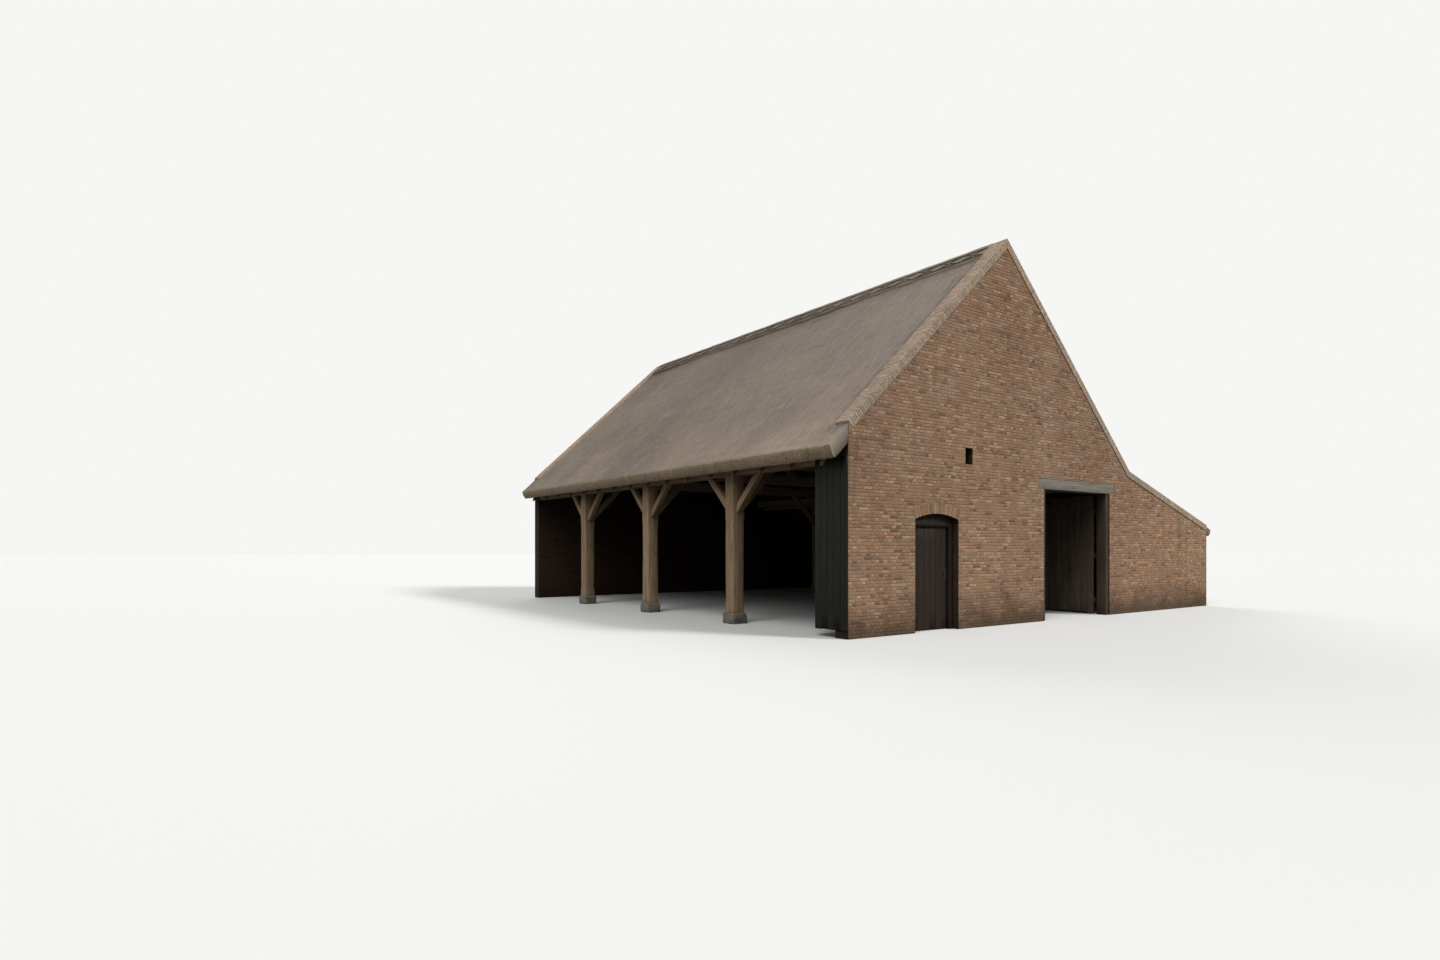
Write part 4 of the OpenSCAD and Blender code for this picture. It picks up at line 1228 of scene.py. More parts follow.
class BARN_OT_brickwork(Operator):
    """Bricks of the walls, laid in cross bond round the doorways, and the arch over the small door."""

    bl_idname = "barn.brickwork"
    bl_label = "Brickwork"

    def execute(self, context):
        look = colours()
        self.rng = np.random.default_rng(11)
        burns = look.brick_pale, look.brick, look.brick_dark, look.mortar
        drips = list(self.drips())
        brick = brick_finish("brick", *burns, drips)
        aisle_brick = brick_finish("aisle_brick", *(scaled(burn, AISLE_PALER) for burn in burns))
        paint(wall_finish(*burns, drips), "front_wall_left", "front_wall_middle", "front_wall_right",
              "small_door_head", "front_gable", "aisle_front_wall", "aisle_side_wall", "aisle_rear_wall",
              "rear_gable")
        self.front(brick, aisle_brick)
        self.rear(brick)
        self.side(aisle_brick)
        return {"FINISHED"}

    @staticmethod
    def drips():
        """Places on the front that water runs from: the vent's sill, the lintel's ends and the eave."""
        vent_low, vent_high = opening("front_gable")
        lintel_low, lintel_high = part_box("wagon_lintel")
        yield (vent_low[0] + vent_high[0]) / 2, vent_low[1], (vent_high[0] - vent_low[0]) / 2, 1.3
        for x in (lintel_low[0] + 0.06, lintel_high[0] - 0.06):
            yield x, lintel_low[2], 0.08, 1.6
        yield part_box("front_gable")[0][0] + 0.1, corner("front_gable", -1, 0, TIE)[2] - 0.05, 0.16, 2.2

    @staticmethod
    def cut_to_arch(quads, middle, centre, outer, half):
        """Bricks over an arch, their feet raised to its back: z = centre + sqrt(outer^2 - (x - middle)^2).

        A brick that the back crosses at its top ends there, and one that lies under it is left out.
        """
        def back(x):
            """Height of the arch's back at a place, or nought beside it."""
            near = np.abs(x - middle)
            return np.where(near < half, centre + np.sqrt(np.maximum(outer ** 2 - near ** 2, 0.0)), 0.0)
        level = quads[:, 2, 1] - ARCH_SLIVER
        cross = np.sqrt(np.maximum(outer ** 2 - (level - centre) ** 2, 0.0))
        buried = back(quads[:, :2, 0]) > level[:, None]
        for side, corners, edge in ((0, [0, 3], middle + cross), (1, [1, 2], middle - cross)):
            moved = buried[:, side] & ~buried[:, 1 - side]
            quads[np.ix_(moved, corners, [0])] = edge[moved][:, None, None]
        quads[:, :2, 1] = np.maximum(quads[:, :2, 1], back(quads[:, :2, 0]))
        wide = quads[:, 1, 0] - quads[:, 0, 0] > 0.02
        return quads[wide & ~buried.all(axis=1)]

    def front(self, brick, aisle_brick):
        """The front: the main gable and, in its plane, the aisle's end, toothed into it.

        The arch is a piece of a circle round (middle, centre), and its two ends lean outwards by `turn`.
        """
        size, line = sizes(), Roofline("front_gable", "aisle_front_wall")
        place = Plane((0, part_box("front_gable")[0][1], 0), (1, 0, 0)).place
        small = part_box("front_wall_left")[1][0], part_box("front_wall_middle")[0][0]
        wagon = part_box("front_wall_middle")[1][0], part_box("front_wall_right")[0][0]
        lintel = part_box("wagon_lintel")
        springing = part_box("small_door_head")[0][2]
        middle, half = sum(small) / 2, (small[1] - small[0]) / 2
        radius = (half ** 2 + ARCH_RISE ** 2) / (2 * ARCH_RISE)
        centre = springing + ARCH_RISE - radius
        outer = radius + ARCH_RING + size.joint
        turn = math.asin(half / radius)

        def arch_end(way):
            """The left or right end of the arch as a function of the height."""
            return lambda z: middle + way * ((z - centre) * math.tan(turn) + size.joint)
        pitch = size.brick_height + size.joint
        shoulder = math.ceil((centre + outer * math.cos(turn)) / pitch) * pitch
        holes = [
            box_hole((small[0], 0.0), (small[1], springing)),
            (springing, shoulder, arch_end(-1), arch_end(1)),
            box_hole(*opening("front_gable")),
            box_hole((wagon[0], 0.0), (wagon[1], lintel[0][2])),
            box_hole((lintel[0][0], lintel[0][2]), (lintel[1][0], lintel[1][2]))]
        laid = lay_courses(between(line.left(), line.right(size.brick_proud), holes), 0.0, line.peak())
        over = (laid[:, 0, 1] > shoulder - 0.01) & (laid[:, 0, 1] < centre + outer)
        cut = self.cut_to_arch(laid[over], middle, centre, outer, outer * math.sin(turn))
        laid = np.concatenate([laid[~over], cut])
        in_aisle = laid[..., 0].mean(axis=1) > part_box("aisle_front_wall")[0][0]
        gable, end = Shape(), Shape()
        add_bricks(gable, laid[~in_aisle], place, self.rng)
        edges = np.linspace(-turn, turn, ARCH_BRICKS + 1)
        gap = size.joint / 2 / radius
        start, stop = edges[:-1] + gap, edges[1:] - gap
        ring = quads_of(*((middle + far * np.sin(angle), centre + far * np.cos(angle)) for far, angle in (
            (radius, start), (radius, stop), (radius + ARCH_RING, stop), (radius + ARCH_RING, start))))
        add_bricks(gable, ring, place, self.rng)
        gable.place("front_bricks", brick, "brick")
        add_bricks(end, laid[in_aisle], place, self.rng)
        end.place("aisle_front_bricks", aisle_brick, "brick")

    def rear(self, brick):
        """The plain rear: the same outline, seen from behind."""
        line = Roofline("rear_gable", "aisle_rear_wall")
        place = Plane((0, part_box("rear_gable")[1][1], 0), (-1, 0, 0)).place
        left, right = line.left(), line.right(sizes().brick_proud)
        spans = between(lambda z: -right(z), lambda z: -left(z), [])
        shape = Shape()
        add_bricks(shape, lay_courses(spans, 0.0, line.peak()), place, self.rng, worn=False)
        shape.place("rear_bricks", brick, "brick")

    def side(self, brick):
        """The aisle's low side wall, with the ends of the gable walls."""
        wall_top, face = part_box("aisle_side_wall")[1][2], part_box("aisle_side_wall")[1][0]
        front, rear = ([spot[1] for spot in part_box(node)] for node in ("aisle_front_wall", "aisle_rear_wall"))
        end_top = corner("aisle_front_wall", 1, 0, TIE)[2]
        place = Plane((face, 0, 0), (0, 1, 0)).place
        shape = Shape()
        for y0, y1, z0, z1 in ((front[0], rear[1], 0.0, wall_top), (*front, wall_top, end_top),
                               (*rear, wall_top, end_top)):
            spans = between(upright(y0), upright(y1), [])
            add_bricks(shape, lay_courses(spans, z0, z1), place, self.rng, worn=False)
        shape.place("aisle_side_bricks", brick, "brick")


class BARN_OT_copings(Operator):
    """Copings of bricks on edge along the slopes of both ends."""

    bl_idname = "barn.copings"
    bl_label = "Copings"

    def execute(self, context):
        look, rng, shape = colours(), np.random.default_rng(23), Shape()
        nodes = ("coping_left", "coping_right", "coping_aisle")
        finish = brick_finish("coping_brick", scaled(look.coping, 1.3), look.coping,
                              scaled(look.coping, 0.62), look.mortar)
        paint(mortar_finish(look.mortar), *nodes)
        for node in nodes:
            for points, _ in solids(node):
                self.rank(shape, points, rng)
        shape.place("coping_bricks", finish, "coping_brick")
        return {"FINISHED"}

    @staticmethod
    def rank(shape, points, rng):
        """Bricks on edge across one coping, two to a rank: long and short, then short and long."""
        size = sizes()
        end = outline(points[np.isclose(points[:, 1], points[:, 1].min(), atol=1e-3)][:, [0, 2]])
        ways = np.roll(end, -1, axis=0) - end
        longest = ways[np.argmax(np.linalg.norm(ways, axis=1))]
        along = longest / np.linalg.norm(longest) * math.copysign(1.0, longest[0])
        out = np.array((-along[1], along[0]))
        upper = end[end @ out > (end @ out).max() - 0.01]
        first, last = upper[np.argmin(upper @ along)], upper[np.argmax(upper @ along)]
        span = (last - first) @ along
        y0, y1 = points[:, 1].min() - COPING_WIDER, points[:, 1].max() + COPING_WIDER
        count = int(span / (size.brick_height + size.joint))
        pitch = span / count
        start = np.arange(count) * pitch + size.joint / 2
        stop = start + pitch - size.joint
        cut = y0 + (y1 - y0) * np.where(np.arange(count) % 2, *COPING_CUTS)

        def place(s, y, out_by):
            """Points in space of places along the coping, across it and over its upper side."""
            spot = first + s[..., None] * along + out_by[..., None] * out
            return np.stack([spot[..., 0], y, spot[..., 1]], axis=-1)
        for low, high in ((y0, cut - size.joint / 2), (cut + size.joint / 2, y1)):
            add_blocks(shape, quads_of((start, low), (stop, low), (stop, high), (start, high)), place, rng)


class BARN_OT_thatch(Operator):
    """Reed on the three slopes, with loose straws and cut ends at the eaves."""

    bl_idname = "barn.thatch"
    bl_label = "Thatch"

    def execute(self, context):
        look = colours()
        self.finish = reed_finish("reed", look.reed, look.reed_low)
        self.rng = np.random.default_rng(5)

        def flat(node, *way):
            """The x and z of the point of a node that lies furthest along a direction."""
            return corner(node, *way)[[0, 2]]
        top, inner = flat("thatch_left", 1, 0, 1), flat("thatch_left", 1, 0, -0.01)
        bend_high, bend_low = flat("thatch_right", 1, 0, 0.01), flat("thatch_right", 0, 0, -1)
        left_eave = flat("thatch_left", -1, 0, 0.01), flat("thatch_left", 0, 0, -1)
        aisle_eave = flat("thatch_aisle", 1, 0, 0.01), flat("thatch_aisle", 0, 0, -1)
        self.coat("left", (top, *left_eave, inner), wall=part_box("front_gable")[0][0], end_straws=True)
        self.coat("right", (top, bend_high, bend_low, inner), nose=2)
        self.coat("aisle", (bend_high, *aisle_eave, bend_low), wall=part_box("aisle_side_wall")[1][0])
        return {"FINISHED"}

    def coat(self, side, corners, nose=8, wall=None, end_straws=False):
        """One slope between the copings. Outside the face of a `wall`, its eave runs on past both gables."""
        (_, y0, _), (_, y1, _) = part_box("ridge_cap")
        node, thatch, shape = "thatch_" + side, Thatch(*corners, nose), Shape()
        thatch.add_body(shape, y0, y1)
        thatch.add_straws(shape, y0, y1, self.rng)
        if wall is not None:
            top, lip, heel, _ = corners
            front, rear = (spot[1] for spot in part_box(node))
            thatch.add_stubs(shape, front, rear, self.rng)
            slope = (top - lip) / (top - lip)[0]
            eave = Thatch(lip + slope * (wall - lip[0]), lip, heel, heel + slope * (wall - heel[0]))
            for low, high in ((front, y0), (y1, rear)):
                eave.add_body(shape, low, high)
                if end_straws:
                    eave.add_straws(shape, low, high, self.rng)
        shape.place("reed_" + side, self.finish, "thatch", stands_for=(node,))


class BARN_OT_ridge(Operator):
    """The ridge cap: sedge bent over the ridge, held by split rods and crossed spars."""

    bl_idname = "barn.ridge"
    bl_label = "Ridge"

    def execute(self, context):
        look = colours()
        low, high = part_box("ridge_cap")
        foot = corner("ridge_cap", -1, 0, 0)
        self.ends = low[1], high[1]
        self.middle, self.crown = (low[0] + high[0]) / 2, high[2]
        self.half, self.drop = self.middle - foot[0], self.crown - foot[2]
        sedge, rods = Shape(), Shape()
        self.add_cap(sedge)
        sedge.place("ridge_sedge", reed_finish("ridge_sedge", look.ridge, look.ridge), "ridge_cap",
                    stands_for=("ridge_cap",))
        self.add_rods(rods)
        split = wood_finish("split_rods", scaled(look.rafter, 1.15), cracks=0.3)
        rods.place("ridge_rods", split, "rafter_wood")
        return {"FINISHED"}

    def over(self, share):
        """The line over the ridge, share -1 to 1: it falls as sqrt(share^2 + blunt), round at its crown."""
        blunt = 0.015
        bend = np.sqrt(share ** 2 + blunt) - math.sqrt(blunt)
        bend = bend / (math.sqrt(1 + blunt) - math.sqrt(blunt))
        return self.middle + share * self.half, self.crown - 0.012 - bend * (self.drop - 0.03)

    def add_cap(self, shape):
        """A closed band over the ridge, its lower edges cut in shallow scallops."""
        (y0, y1), deep, long, thick = self.ends, 0.045, 0.85, 0.05
        ys, share = np.linspace(y0, y1, 180), np.linspace(-1, 1, 26)
        scallop = deep * np.abs(np.sin((ys - y0) * math.pi / long))
        reach = 1 - (deep - scallop)[:, None] / self.half * np.abs(share)[None] ** 3
        x, z = self.over(share[None] * reach)
        spots = np.stack([x, np.broadcast_to(ys[:, None], x.shape), z], axis=-1)
        z = z + 0.007 * noise(spots, 0.35, 31) + 0.004 * noise(spots * (1, 3, 1), 0.1, 32)
        upper = np.stack([x, spots[..., 1], z], axis=-1)
        ring = np.concatenate([upper, upper[:, ::-1] - thick * UP], axis=1)
        around = ring.shape[1]
        walk = np.arange(around + 1) * 2 * self.half / len(share)
        caps = np.concatenate([ladder(around, 0, True), ladder(around, (len(ys) - 1) * around, False)])
        end_grain = ring.reshape(-1, 3)[caps][..., [0, 2]]
        faces, grain = rings(len(ys), around)[:, ::-1], quad_map(ys, walk)[:, ::-1, ::-1]
        fall = np.tile(np.abs(np.concatenate([share, share])), len(ys))
        shape.add(ring, [faces, caps], [grain, end_grain], tone=0.0, fall=fall, under=0.0, cut=0.0)

    def add_rods(self, shape):
        """Two long rods down each side, and spars that cross between them."""
        (y0, y1), gap, pitch, seed = self.ends, 0.02, 0.62, 700
        cuts = np.linspace(y0 + gap, y1 - gap, 7)
        for side in (-1, 1):
            lines = []
            for share in (0.42, 0.86):
                x, z = self.over(side * share)
                lines.append((x, z + 0.012))
                x, z = lines[-1]
                for start, end in zip(cuts[:-1], cuts[1:]):
                    seed += 1
                    rod = Timber.of_strip((x, start, z), (x, end - gap, z), (1, 0, 0), 0.026, 0.02)
                    add_timber(shape, rod, 0.006, 0.002, seed, ring=0.5)
            upper, lower = lines
            for number in range(int((y1 - y0) / pitch)):
                start = y0 + 0.04 + number * pitch
                for (x, z), (far_x, far_z) in ((upper, lower), (lower, upper)):
                    seed += 1
                    spar = Timber.of_strip((x, start, z), (far_x, start + pitch * 0.92, far_z), (0, 1, 0),
                                           0.018, 0.016)
                    add_timber(shape, spar, 0.005, 0.001, seed, ring=0.5)


class BARN_OT_frame(Operator):
    """The timber frame: every post, plate, brace, beam and rafter as a hewn timber."""

    bl_idname = "barn.frame"
    bl_label = "Timber frame"

    def execute(self, context):
        look = colours()
        oak = wood_finish("frame_oak", look.oak, silver=0.25), "frame_oak"
        rafter = wood_finish("rafter_wood", look.rafter), "rafter_wood"
        # the jamb posts' dark colour is painted shade for the doorway's reveals
        jamb = wood_finish("jamb_oak", look.jamb, silver=0.1), "wagon_door_oak"
        lintel = wood_finish("weathered_lintel", look.lintel, silver=0.6, cracks=0.9), "weathered_lintel"
        groups = (
            ("hewn_posts", ("arcade_posts",), oak, 0.006, 0.3),
            ("hewn_plates", ("wall_plates", "aisle_plate", "aisle_ledger"), oak, 0.004, 0.5),
            ("hewn_braces", ("plate_braces", "tie_braces"), oak, 0.004, 0.25),
            ("hewn_ties", ("tie_beams", "collars"), oak, 0.005, 0.45),
            ("hewn_principals", ("principals_left", "principals_right"), oak, 0.005, 0.45),
            ("hewn_purlins", ("purlins", "ridge_beam"), oak, 0.004, 0.6),
            ("poles_left", ("rafters_left",), rafter, 0.005, 0.45),
            ("poles_right", ("rafters_right",), rafter, 0.005, 0.45),
            ("poles_aisle", ("aisle_rafters",), rafter, 0.005, 0.45),
            ("corner_frame", ("corner_studs",), oak, 0.004, 0.4),
            ("wagon_jambs", ("wagon_posts",), jamb, 0.002, 0.25),
            ("wagon_beam", ("wagon_lintel",), lintel, 0.003, 0.25))
        seed = 0
        for name, nodes, (finish, slot), wander, ring in groups:
            shape = Shape()
            for node in nodes:
                for points, triangles in solids(node):
                    seed += 1
                    timber = Timber.of_solid(points, triangles)
                    if node == "arcade_posts":
                        timber.stops = self.chamfer(points, timber)
                    add_timber(shape, timber, sizes().arris, wander, seed, ring)
            shape.place(name, finish, slot, stands_for=nodes)
        return {"FINISHED"}

    @staticmethod
    def chamfer(points, timber):
        """Where a post's chamfer starts and ends along it, and its width, twice the run of its stops."""
        levels = np.unique(np.round(points @ timber.along, 3))
        return levels[2], levels[3], 2 * (levels[2] - levels[1])


class BARN_OT_battens(Operator):
    """Battens across the rafters, to which the reed is tied, and what closes the gaps at the eave."""

    bl_idname = "barn.battens"
    bl_label = "Battens"

    def execute(self, context):
        look, size, shape = colours(), sizes(), Shape()
        (_, y0, _), (_, y1, _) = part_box("ridge_cap")
        first, last, seed = 0.12, 0.03, 900
        for node, head, foot in (("rafters_left", (0, 0, 1), (-1, 0, 0.01)),
                                 ("rafters_right", (0, 0, 1), (1, 0, 0.01)),
                                 ("aisle_rafters", (-1, 0, 0.1), (1, 0, 0.01))):
            head, foot = (corner(node, *way) * (1, 0, 1) for way in (head, foot))
            run = np.linalg.norm(foot - head)
            down = (foot - head) / run
            out = np.array((-down[2], 0.0, down[0])) * math.copysign(1.0, down[0])
            laid = run - first - last
            for s in np.arange(first, run - 0.02, laid / round(laid / size.batten_pitch)):
                seed += 1
                middle = head + s * down + (size.batten_depth / 2 + 0.001) * out
                start, end = middle + (0, y0, 0), middle + (0, y1, 0)
                batten = Timber.of_strip(start, end, out, size.batten_depth, 0.045)
                add_timber(shape, batten, 0.004, 0.001, seed, ring=0.9)
        shape.place("battens", wood_finish("batten_wood", look.rafter, cracks=0.3), "rafter_wood")
        self.close_eave(y0, y1)
        return {"FINISHED"}

    @staticmethod
    def close_eave(y0, y1):
        """Reed bundles from the aisle's plate to the thatch, and mortar under the plate."""
        look, bundles, bed = colours(), Shape(), Shape()
        low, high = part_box("aisle_plate")
        head, foot = corner("aisle_rafters", -1, 0, 0.1), corner("aisle_rafters", 1, 0, 0.01)
        fall = (head[2] - foot[2]) / (foot[0] - head[0])
        left, right, sole = low[0] + 0.03, high[0] - 0.03, high[2] - 0.03
        under_right, under_left = (head[2] - (x - head[0]) * fall + 0.06 for x in (right, left))
        section = outline(np.array([(-left, sole), (-right, sole), (-right, under_right),
                                    (-left, under_left)]))
        along = np.array((0.0, 1.0, 0.0))
        bundle = Timber(along, np.array((-1.0, 0.0, 0.0)), section, [(-along, -y0), (along, y1)])
        add_timber(bundles, bundle, 0.03, 0.004, 990, ring=0.12)
        bundles.place("eave_stuffing", reed_finish("stuffed_reed", look.reed, look.reed_low), "thatch")
        mortar = Timber.of_box((low[0] + 0.004, y0, low[2] - 0.01), (high[0] - 0.004, y1, low[2] + 0.02), 1)
        add_timber(bed, mortar, 0.003, 0.0005, 991)
        bed.place("plate_bed", mortar_finish(look.mortar), "brick")


class BARN_OT_boarding(Operator):
    """Tarred boards at the corner of the open side."""

    bl_idname = "barn.boarding"
    bl_label = "Corner boarding"

    def execute(self, context):
        low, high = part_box("corner_boarding")
        count = round((high[1] - low[1]) / sizes().board_width)
        pitch = (high[1] - low[1]) / count
        shape, rng = Shape(), np.random.default_rng(41)
        for number in range(count):
            y = low[1] + number * pitch
            foot = low[2] + rng.uniform(0, 0.03)
            board = Timber.of_box((low[0] + rng.uniform(0, 0.003), y + BOARD_GAP, foot),
                                  (high[0], y + pitch - BOARD_GAP, high[2] - rng.uniform(0, 0.01)), 2)
            add_timber(shape, board, 0.004, 0.001, 300 + number, ring=0.3)
        for z in (0.55, 1.75, 2.85):
            for y in low[1] + (np.arange(count) + 0.5) * pitch:
                for shift in (-0.045, 0.045):
                    add_nail(shape, (low[0] + 0.001, y + shift, z), (-1, 0, 0), sizes().nail * 0.7)
        shape.place("corner_boards", wood_finish("tarred_boards", colours().tar, 0.55, pale=1.6),
                    "tarred_boards", stands_for=("corner_boarding",))
        return {"FINISHED"}


def add_nail(shape, spot, out, radius):
    """A forged nail head: a low six-sided dome, closed by its flat back."""
    spot, out = np.array(spot, float), np.array(out, float)
    side = np.cross(out, UP)
    turn = np.arange(6) * math.pi / 3
    around = np.cos(turn)[:, None] * side + np.sin(turn)[:, None] * np.cross(out, side)
    shoulder = spot + 0.7 * radius * around + 0.35 * radius * out
    foot, top = spot + radius * around - 0.3 * radius * out, spot + 0.5 * radius * out
    points = np.concatenate([foot, shoulder, [top]])
    place = np.arange(6)
    dome = np.stack([6 + place, 6 + (place + 1) % 6, np.full(6, 12)], axis=-1)
    shape.add(points, [rings(2, 6), dome, fan(6, 0, False)], tone=0.0, rim=0.4)


class Leaf:
    """A ledged plank door, `along` the axis of its width, its planks on the side that `out` points to."""

    def __init__(self, node, iron, along, out):
        low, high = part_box(node)
        self.node, self.along, self.through, self.out = node, along, 1 - along, np.array(out, float)
        self.start, self.end, self.foot, self.head = low[along], high[along], low[2], high[2]
        depths = low[self.through], high[self.through]
        self.face, self.back = depths[::-1] if self.out[self.through] > 0 else depths
        self.count = round((self.end - self.start) / sizes().plank_width)
        self.pitch = (self.end - self.start) / self.count
        self.straps = [points for points, _ in solids(iron) if np.ptp(points[:, along]) > 0.4]
        self.ledges = sorted((points[:, 2].min() + points[:, 2].max()) / 2 for points in self.straps)

    def spot(self, run, height, depth):
        """A point in space from its places along the leaf, up it and through it."""
        spot = np.zeros(3)
        spot[[self.along, 2, self.through]] = run, height, depth
        return spot

    def slab(self, a0, a1, z0, z1, near, far, grain):
        """A box of wood: its run along the leaf, its heights, its depths (0 at the planks) and its grain."""
        first, last = sorted(self.face + share * (self.back - self.face) for share in (near, far))
        return Timber.of_box(self.spot(a0, z0, first), self.spot(a1, z1, last), grain)

    def add_wood(self, shape, seed):
        """Tongued planks, ledges, and braces that rise from the hinge side."""
        for number in range(self.count):
            start = self.start + number * self.pitch
            plank = self.slab(start + PLANK_GAP, start + self.pitch - PLANK_GAP, self.foot, self.head,
                              0.0, 0.5, 2)
            add_timber(shape, plank, 0.004, 0.0008, seed + number, ring=0.3)
        for number in range(1, self.count):
            joint = self.start + number * self.pitch
            tongue = self.slab(joint - 0.01, joint + 0.01, self.foot + 0.01, self.head - 0.01, 0.2, 0.34, 2)
            add_timber(shape, tongue, 0.001, 0.0002, seed + 40 + number, ring=3.0)
        for number, z in enumerate(self.ledges):
            ledge = self.slab(self.start, self.end, z - LEDGE_HALF, z + LEDGE_HALF, 0.49, 1.0, self.along)
            add_timber(shape, ledge, 0.006, 0.001, seed + 20 + number)
        depth = self.face + 0.74 * (self.back - self.face)
        set_in, reach = BRACE_IN + BRACE_WIDTH / 2, LEDGE_HALF - 0.002
        for number, (below, above) in enumerate(zip(self.ledges[:-1], self.ledges[1:])):
            start = self.spot(self.start + set_in, below + reach, depth)
            end = self.spot(self.end - set_in, above - reach, depth)
            square = BRACE_WIDTH * (end[2] - start[2]) / np.linalg.norm(end - start)
            brace = Timber.of_strip(start, end, np.cross(self.out, end - start), square, BRACE_THICK, UP)
            add_timber(shape, brace, 0.004, 0.0008, seed + 30 + number)

    def add_nails(self, shape):
        """Nails through the planks into the ledges, and through the straps on the other side."""
        size = sizes()
        for z in self.ledges:
            for number in range(self.count):
                for way in (-1, 1):
                    run = self.start + (number + 0.5) * self.pitch + way * 0.04
                    add_nail(shape, self.spot(run, z + way * 0.045, self.face), self.out, size.nail)
        for points in self.straps:
            hinge, tip = points[:, self.along].min(), points[:, self.along].max()
            height = (points[:, 2].min() + points[:, 2].max()) / 2
            flat = points[points[:, self.along] > tip - 0.4]
            face = (flat @ self.out).min() * self.out[self.through]
            for share in STRAP_NAILS:
                spot = self.spot(hinge + share * (tip - hinge), height, face)
                add_nail(shape, spot, -self.out, size.nail * 0.9)


class BARN_OT_doors(Operator):
    """The small door and the two wagon doors, with their nails, and the door frame's wood."""

    bl_idname = "barn.doors"
    bl_label = "Doors"

    def execute(self, context):
        look = colours()
        iron = iron_finish(look.iron, look.rust)
        door = wood_finish("dark_door_oak", look.door, 0.7)
        wagon = wood_finish("wagon_door_oak", look.wagon_door, silver=0.2)
        paint(wood_finish("door_frame_oak", look.door, 0.7, upright=True), "small_door_frame")
        paint(iron, "small_door_ironwork", "wagon_ironwork_left", "wagon_ironwork_right", "pintles")
        leaves = (
            ("small", Leaf("small_door", "small_door_ironwork", 0, (0, -1, 0)), door, "dark_door_oak",
             "small_door_leaf", 400),
            ("wagon_left", Leaf("wagon_door_left", "wagon_ironwork_left", 1, (1, 0, 0)), wagon,
             "wagon_door_oak", "wagon_leaf_left", 450),
            ("wagon_right", Leaf("wagon_door_right", "wagon_ironwork_right", 1, (-1, 0, 0)), wagon,
             "wagon_door_oak", "wagon_leaf_right", 500))
        for name, leaf, finish, slot, body, seed in leaves:
            wood, nails = Shape(), Shape()
            leaf.add_wood(wood, seed)
            wood.place(name + "_planks", finish, slot, body, (leaf.node,))
            leaf.add_nails(nails)
            nails.place(name + "_nails", iron, "black_iron", body)
        self.stops(door)
        return {"FINISHED"}

    @staticmethod
    def stops(finish):
        """Laths inside the small door's frame, just in front of the leaf, that it closes against."""
        leaf_low, leaf_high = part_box("small_door")
        y0, y1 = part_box("small_door_frame")[0][1] + 0.012, leaf_low[1] - 0.007
        wide, gap = 0.028, 0.006
        left, right, head = leaf_low[0] - gap, leaf_high[0] + gap, leaf_high[2] + 0.017
        laths = ((left, left + wide, 0.0, head, 2), (right - wide, right, 0.0, head, 2),
                 (left + wide, right - wide, head - wide, head, 0))
        shape = Shape()
        for number, (x0, x1, z0, z1, grain) in enumerate(laths):
            add_timber(shape, Timber.of_box((x0, y0, z0), (x1, y1, z1), grain), 0.003, 0.0006, 560 + number)
        shape.place("door_stops", finish, "dark_door_oak")


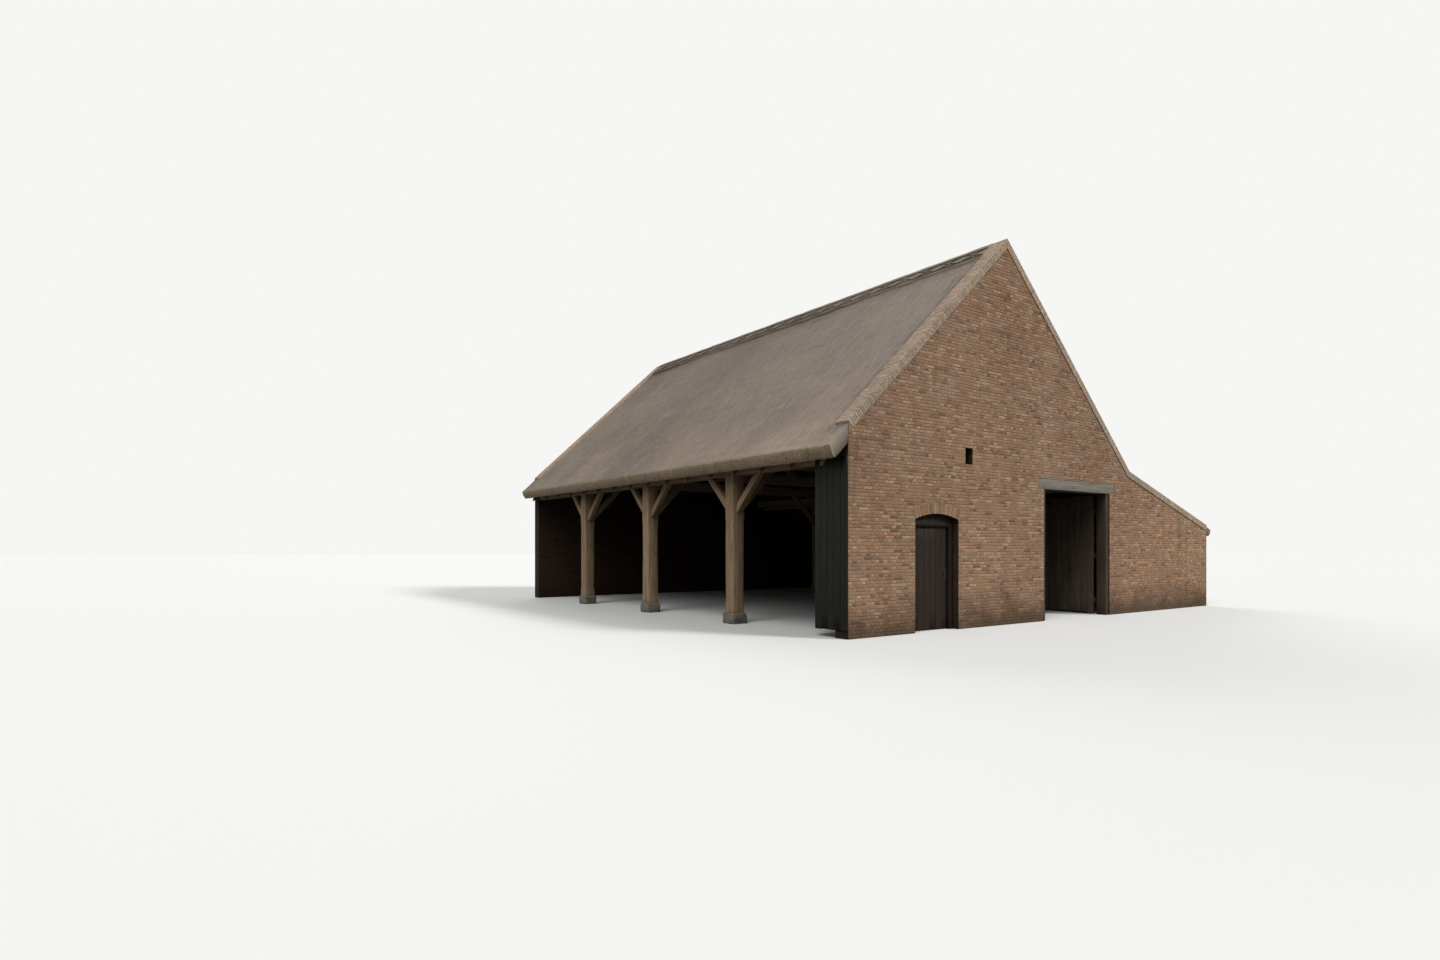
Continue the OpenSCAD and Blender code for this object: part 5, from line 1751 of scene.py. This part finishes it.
class BARN_OT_stones(Operator):
    """Rough stones under the posts."""

    bl_idname = "barn.stones"
    bl_label = "Pad stones"

    def execute(self, context):
        shape = Shape()
        for number, (points, _) in enumerate(solids("post_stones")):
            self.add_stone(shape, points.min(axis=0), points.max(axis=0), number)
        shape.place("pad_stones", stone_finish(colours().stone), "pad_stone", stands_for=("post_stones",))
        return {"FINISHED"}

    @staticmethod
    def add_stone(shape, low, high, seed):
        """A stone of stacked superellipses: each ring is |cos|^p by |sin|^p, with worn faces."""
        around, power = 40, 0.28
        rise = np.array([0.0, 0.0, 0.12, 0.3, 0.5, 0.7, 0.86, 0.97, 1.0])
        wide = np.array([0.9, 1.0, 1.0, 1.0, 1.0, 1.0, 0.99, 0.965, 0.9])
        turn = (np.arange(around) + 0.5) * 2 * math.pi / around
        circle = np.stack([np.cos(turn), np.sin(turn)], axis=-1)
        square = np.sign(circle) * np.abs(circle) ** power
        middle, half = (low + high) / 2, (high - low) / 2
        points = np.zeros((len(rise), around, 3))
        points[..., :2] = middle[:2] + square[None] * half[:2] * wide[:, None, None]
        points[..., 2] = (low[2] + rise * (high[2] - low[2]))[:, None]
        dent = 0.010 * (1 + noise(points, 0.12, 60 + seed)) + 0.004 * (1 + noise(points, 0.03, 80 + seed))
        points[..., :2] -= square[None] * dent[..., None]
        last = (len(rise) - 1) * around
        shape.add(points, [rings(len(rise), around), ladder(around, 0, False), ladder(around, last, True)],
                  tone=0.0, rim=0.0)


STEPS = ("stage", "brickwork", "copings", "thatch", "ridge", "frame", "battens", "boarding", "doors",
         "stones")


class BARN_PT_looks(Panel):
    """Lists the settings and the steps."""

    bl_label = "Barn"
    bl_idname = "BARN_PT_looks"
    bl_space_type = "VIEW_3D"
    bl_region_type = "UI"
    bl_category = "Barn"

    def draw(self, context):
        for group in (context.scene.barn_sizes, context.scene.barn_colours, context.scene.barn_studio):
            box = self.layout.box()
            for name in group.__annotations__:
                box.prop(group, name)
        for step in STEPS:
            self.layout.operator("barn." + step)


CLASSES = (BarnSizes, BarnColours, StudioSettings, BARN_OT_stage, BARN_OT_brickwork, BARN_OT_copings,
           BARN_OT_thatch, BARN_OT_ridge, BARN_OT_frame, BARN_OT_battens, BARN_OT_boarding, BARN_OT_doors,
           BARN_OT_stones, BARN_PT_looks)


def register():
    """Registers the classes and hangs the settings on the scene."""
    for one in CLASSES:
        bpy.utils.register_class(one)
    bpy.types.Scene.barn_sizes = PointerProperty(type=BarnSizes)
    bpy.types.Scene.barn_colours = PointerProperty(type=BarnColours)
    bpy.types.Scene.barn_studio = PointerProperty(type=StudioSettings)


def unregister():
    """Takes the settings and the classes away again."""
    del bpy.types.Scene.barn_sizes, bpy.types.Scene.barn_colours, bpy.types.Scene.barn_studio
    for one in reversed(CLASSES):
        bpy.utils.unregister_class(one)


def main():
    """Runs every step in order."""
    register()
    for step in STEPS:
        getattr(bpy.ops.barn, step)()


if __name__ == "__main__":
    main()
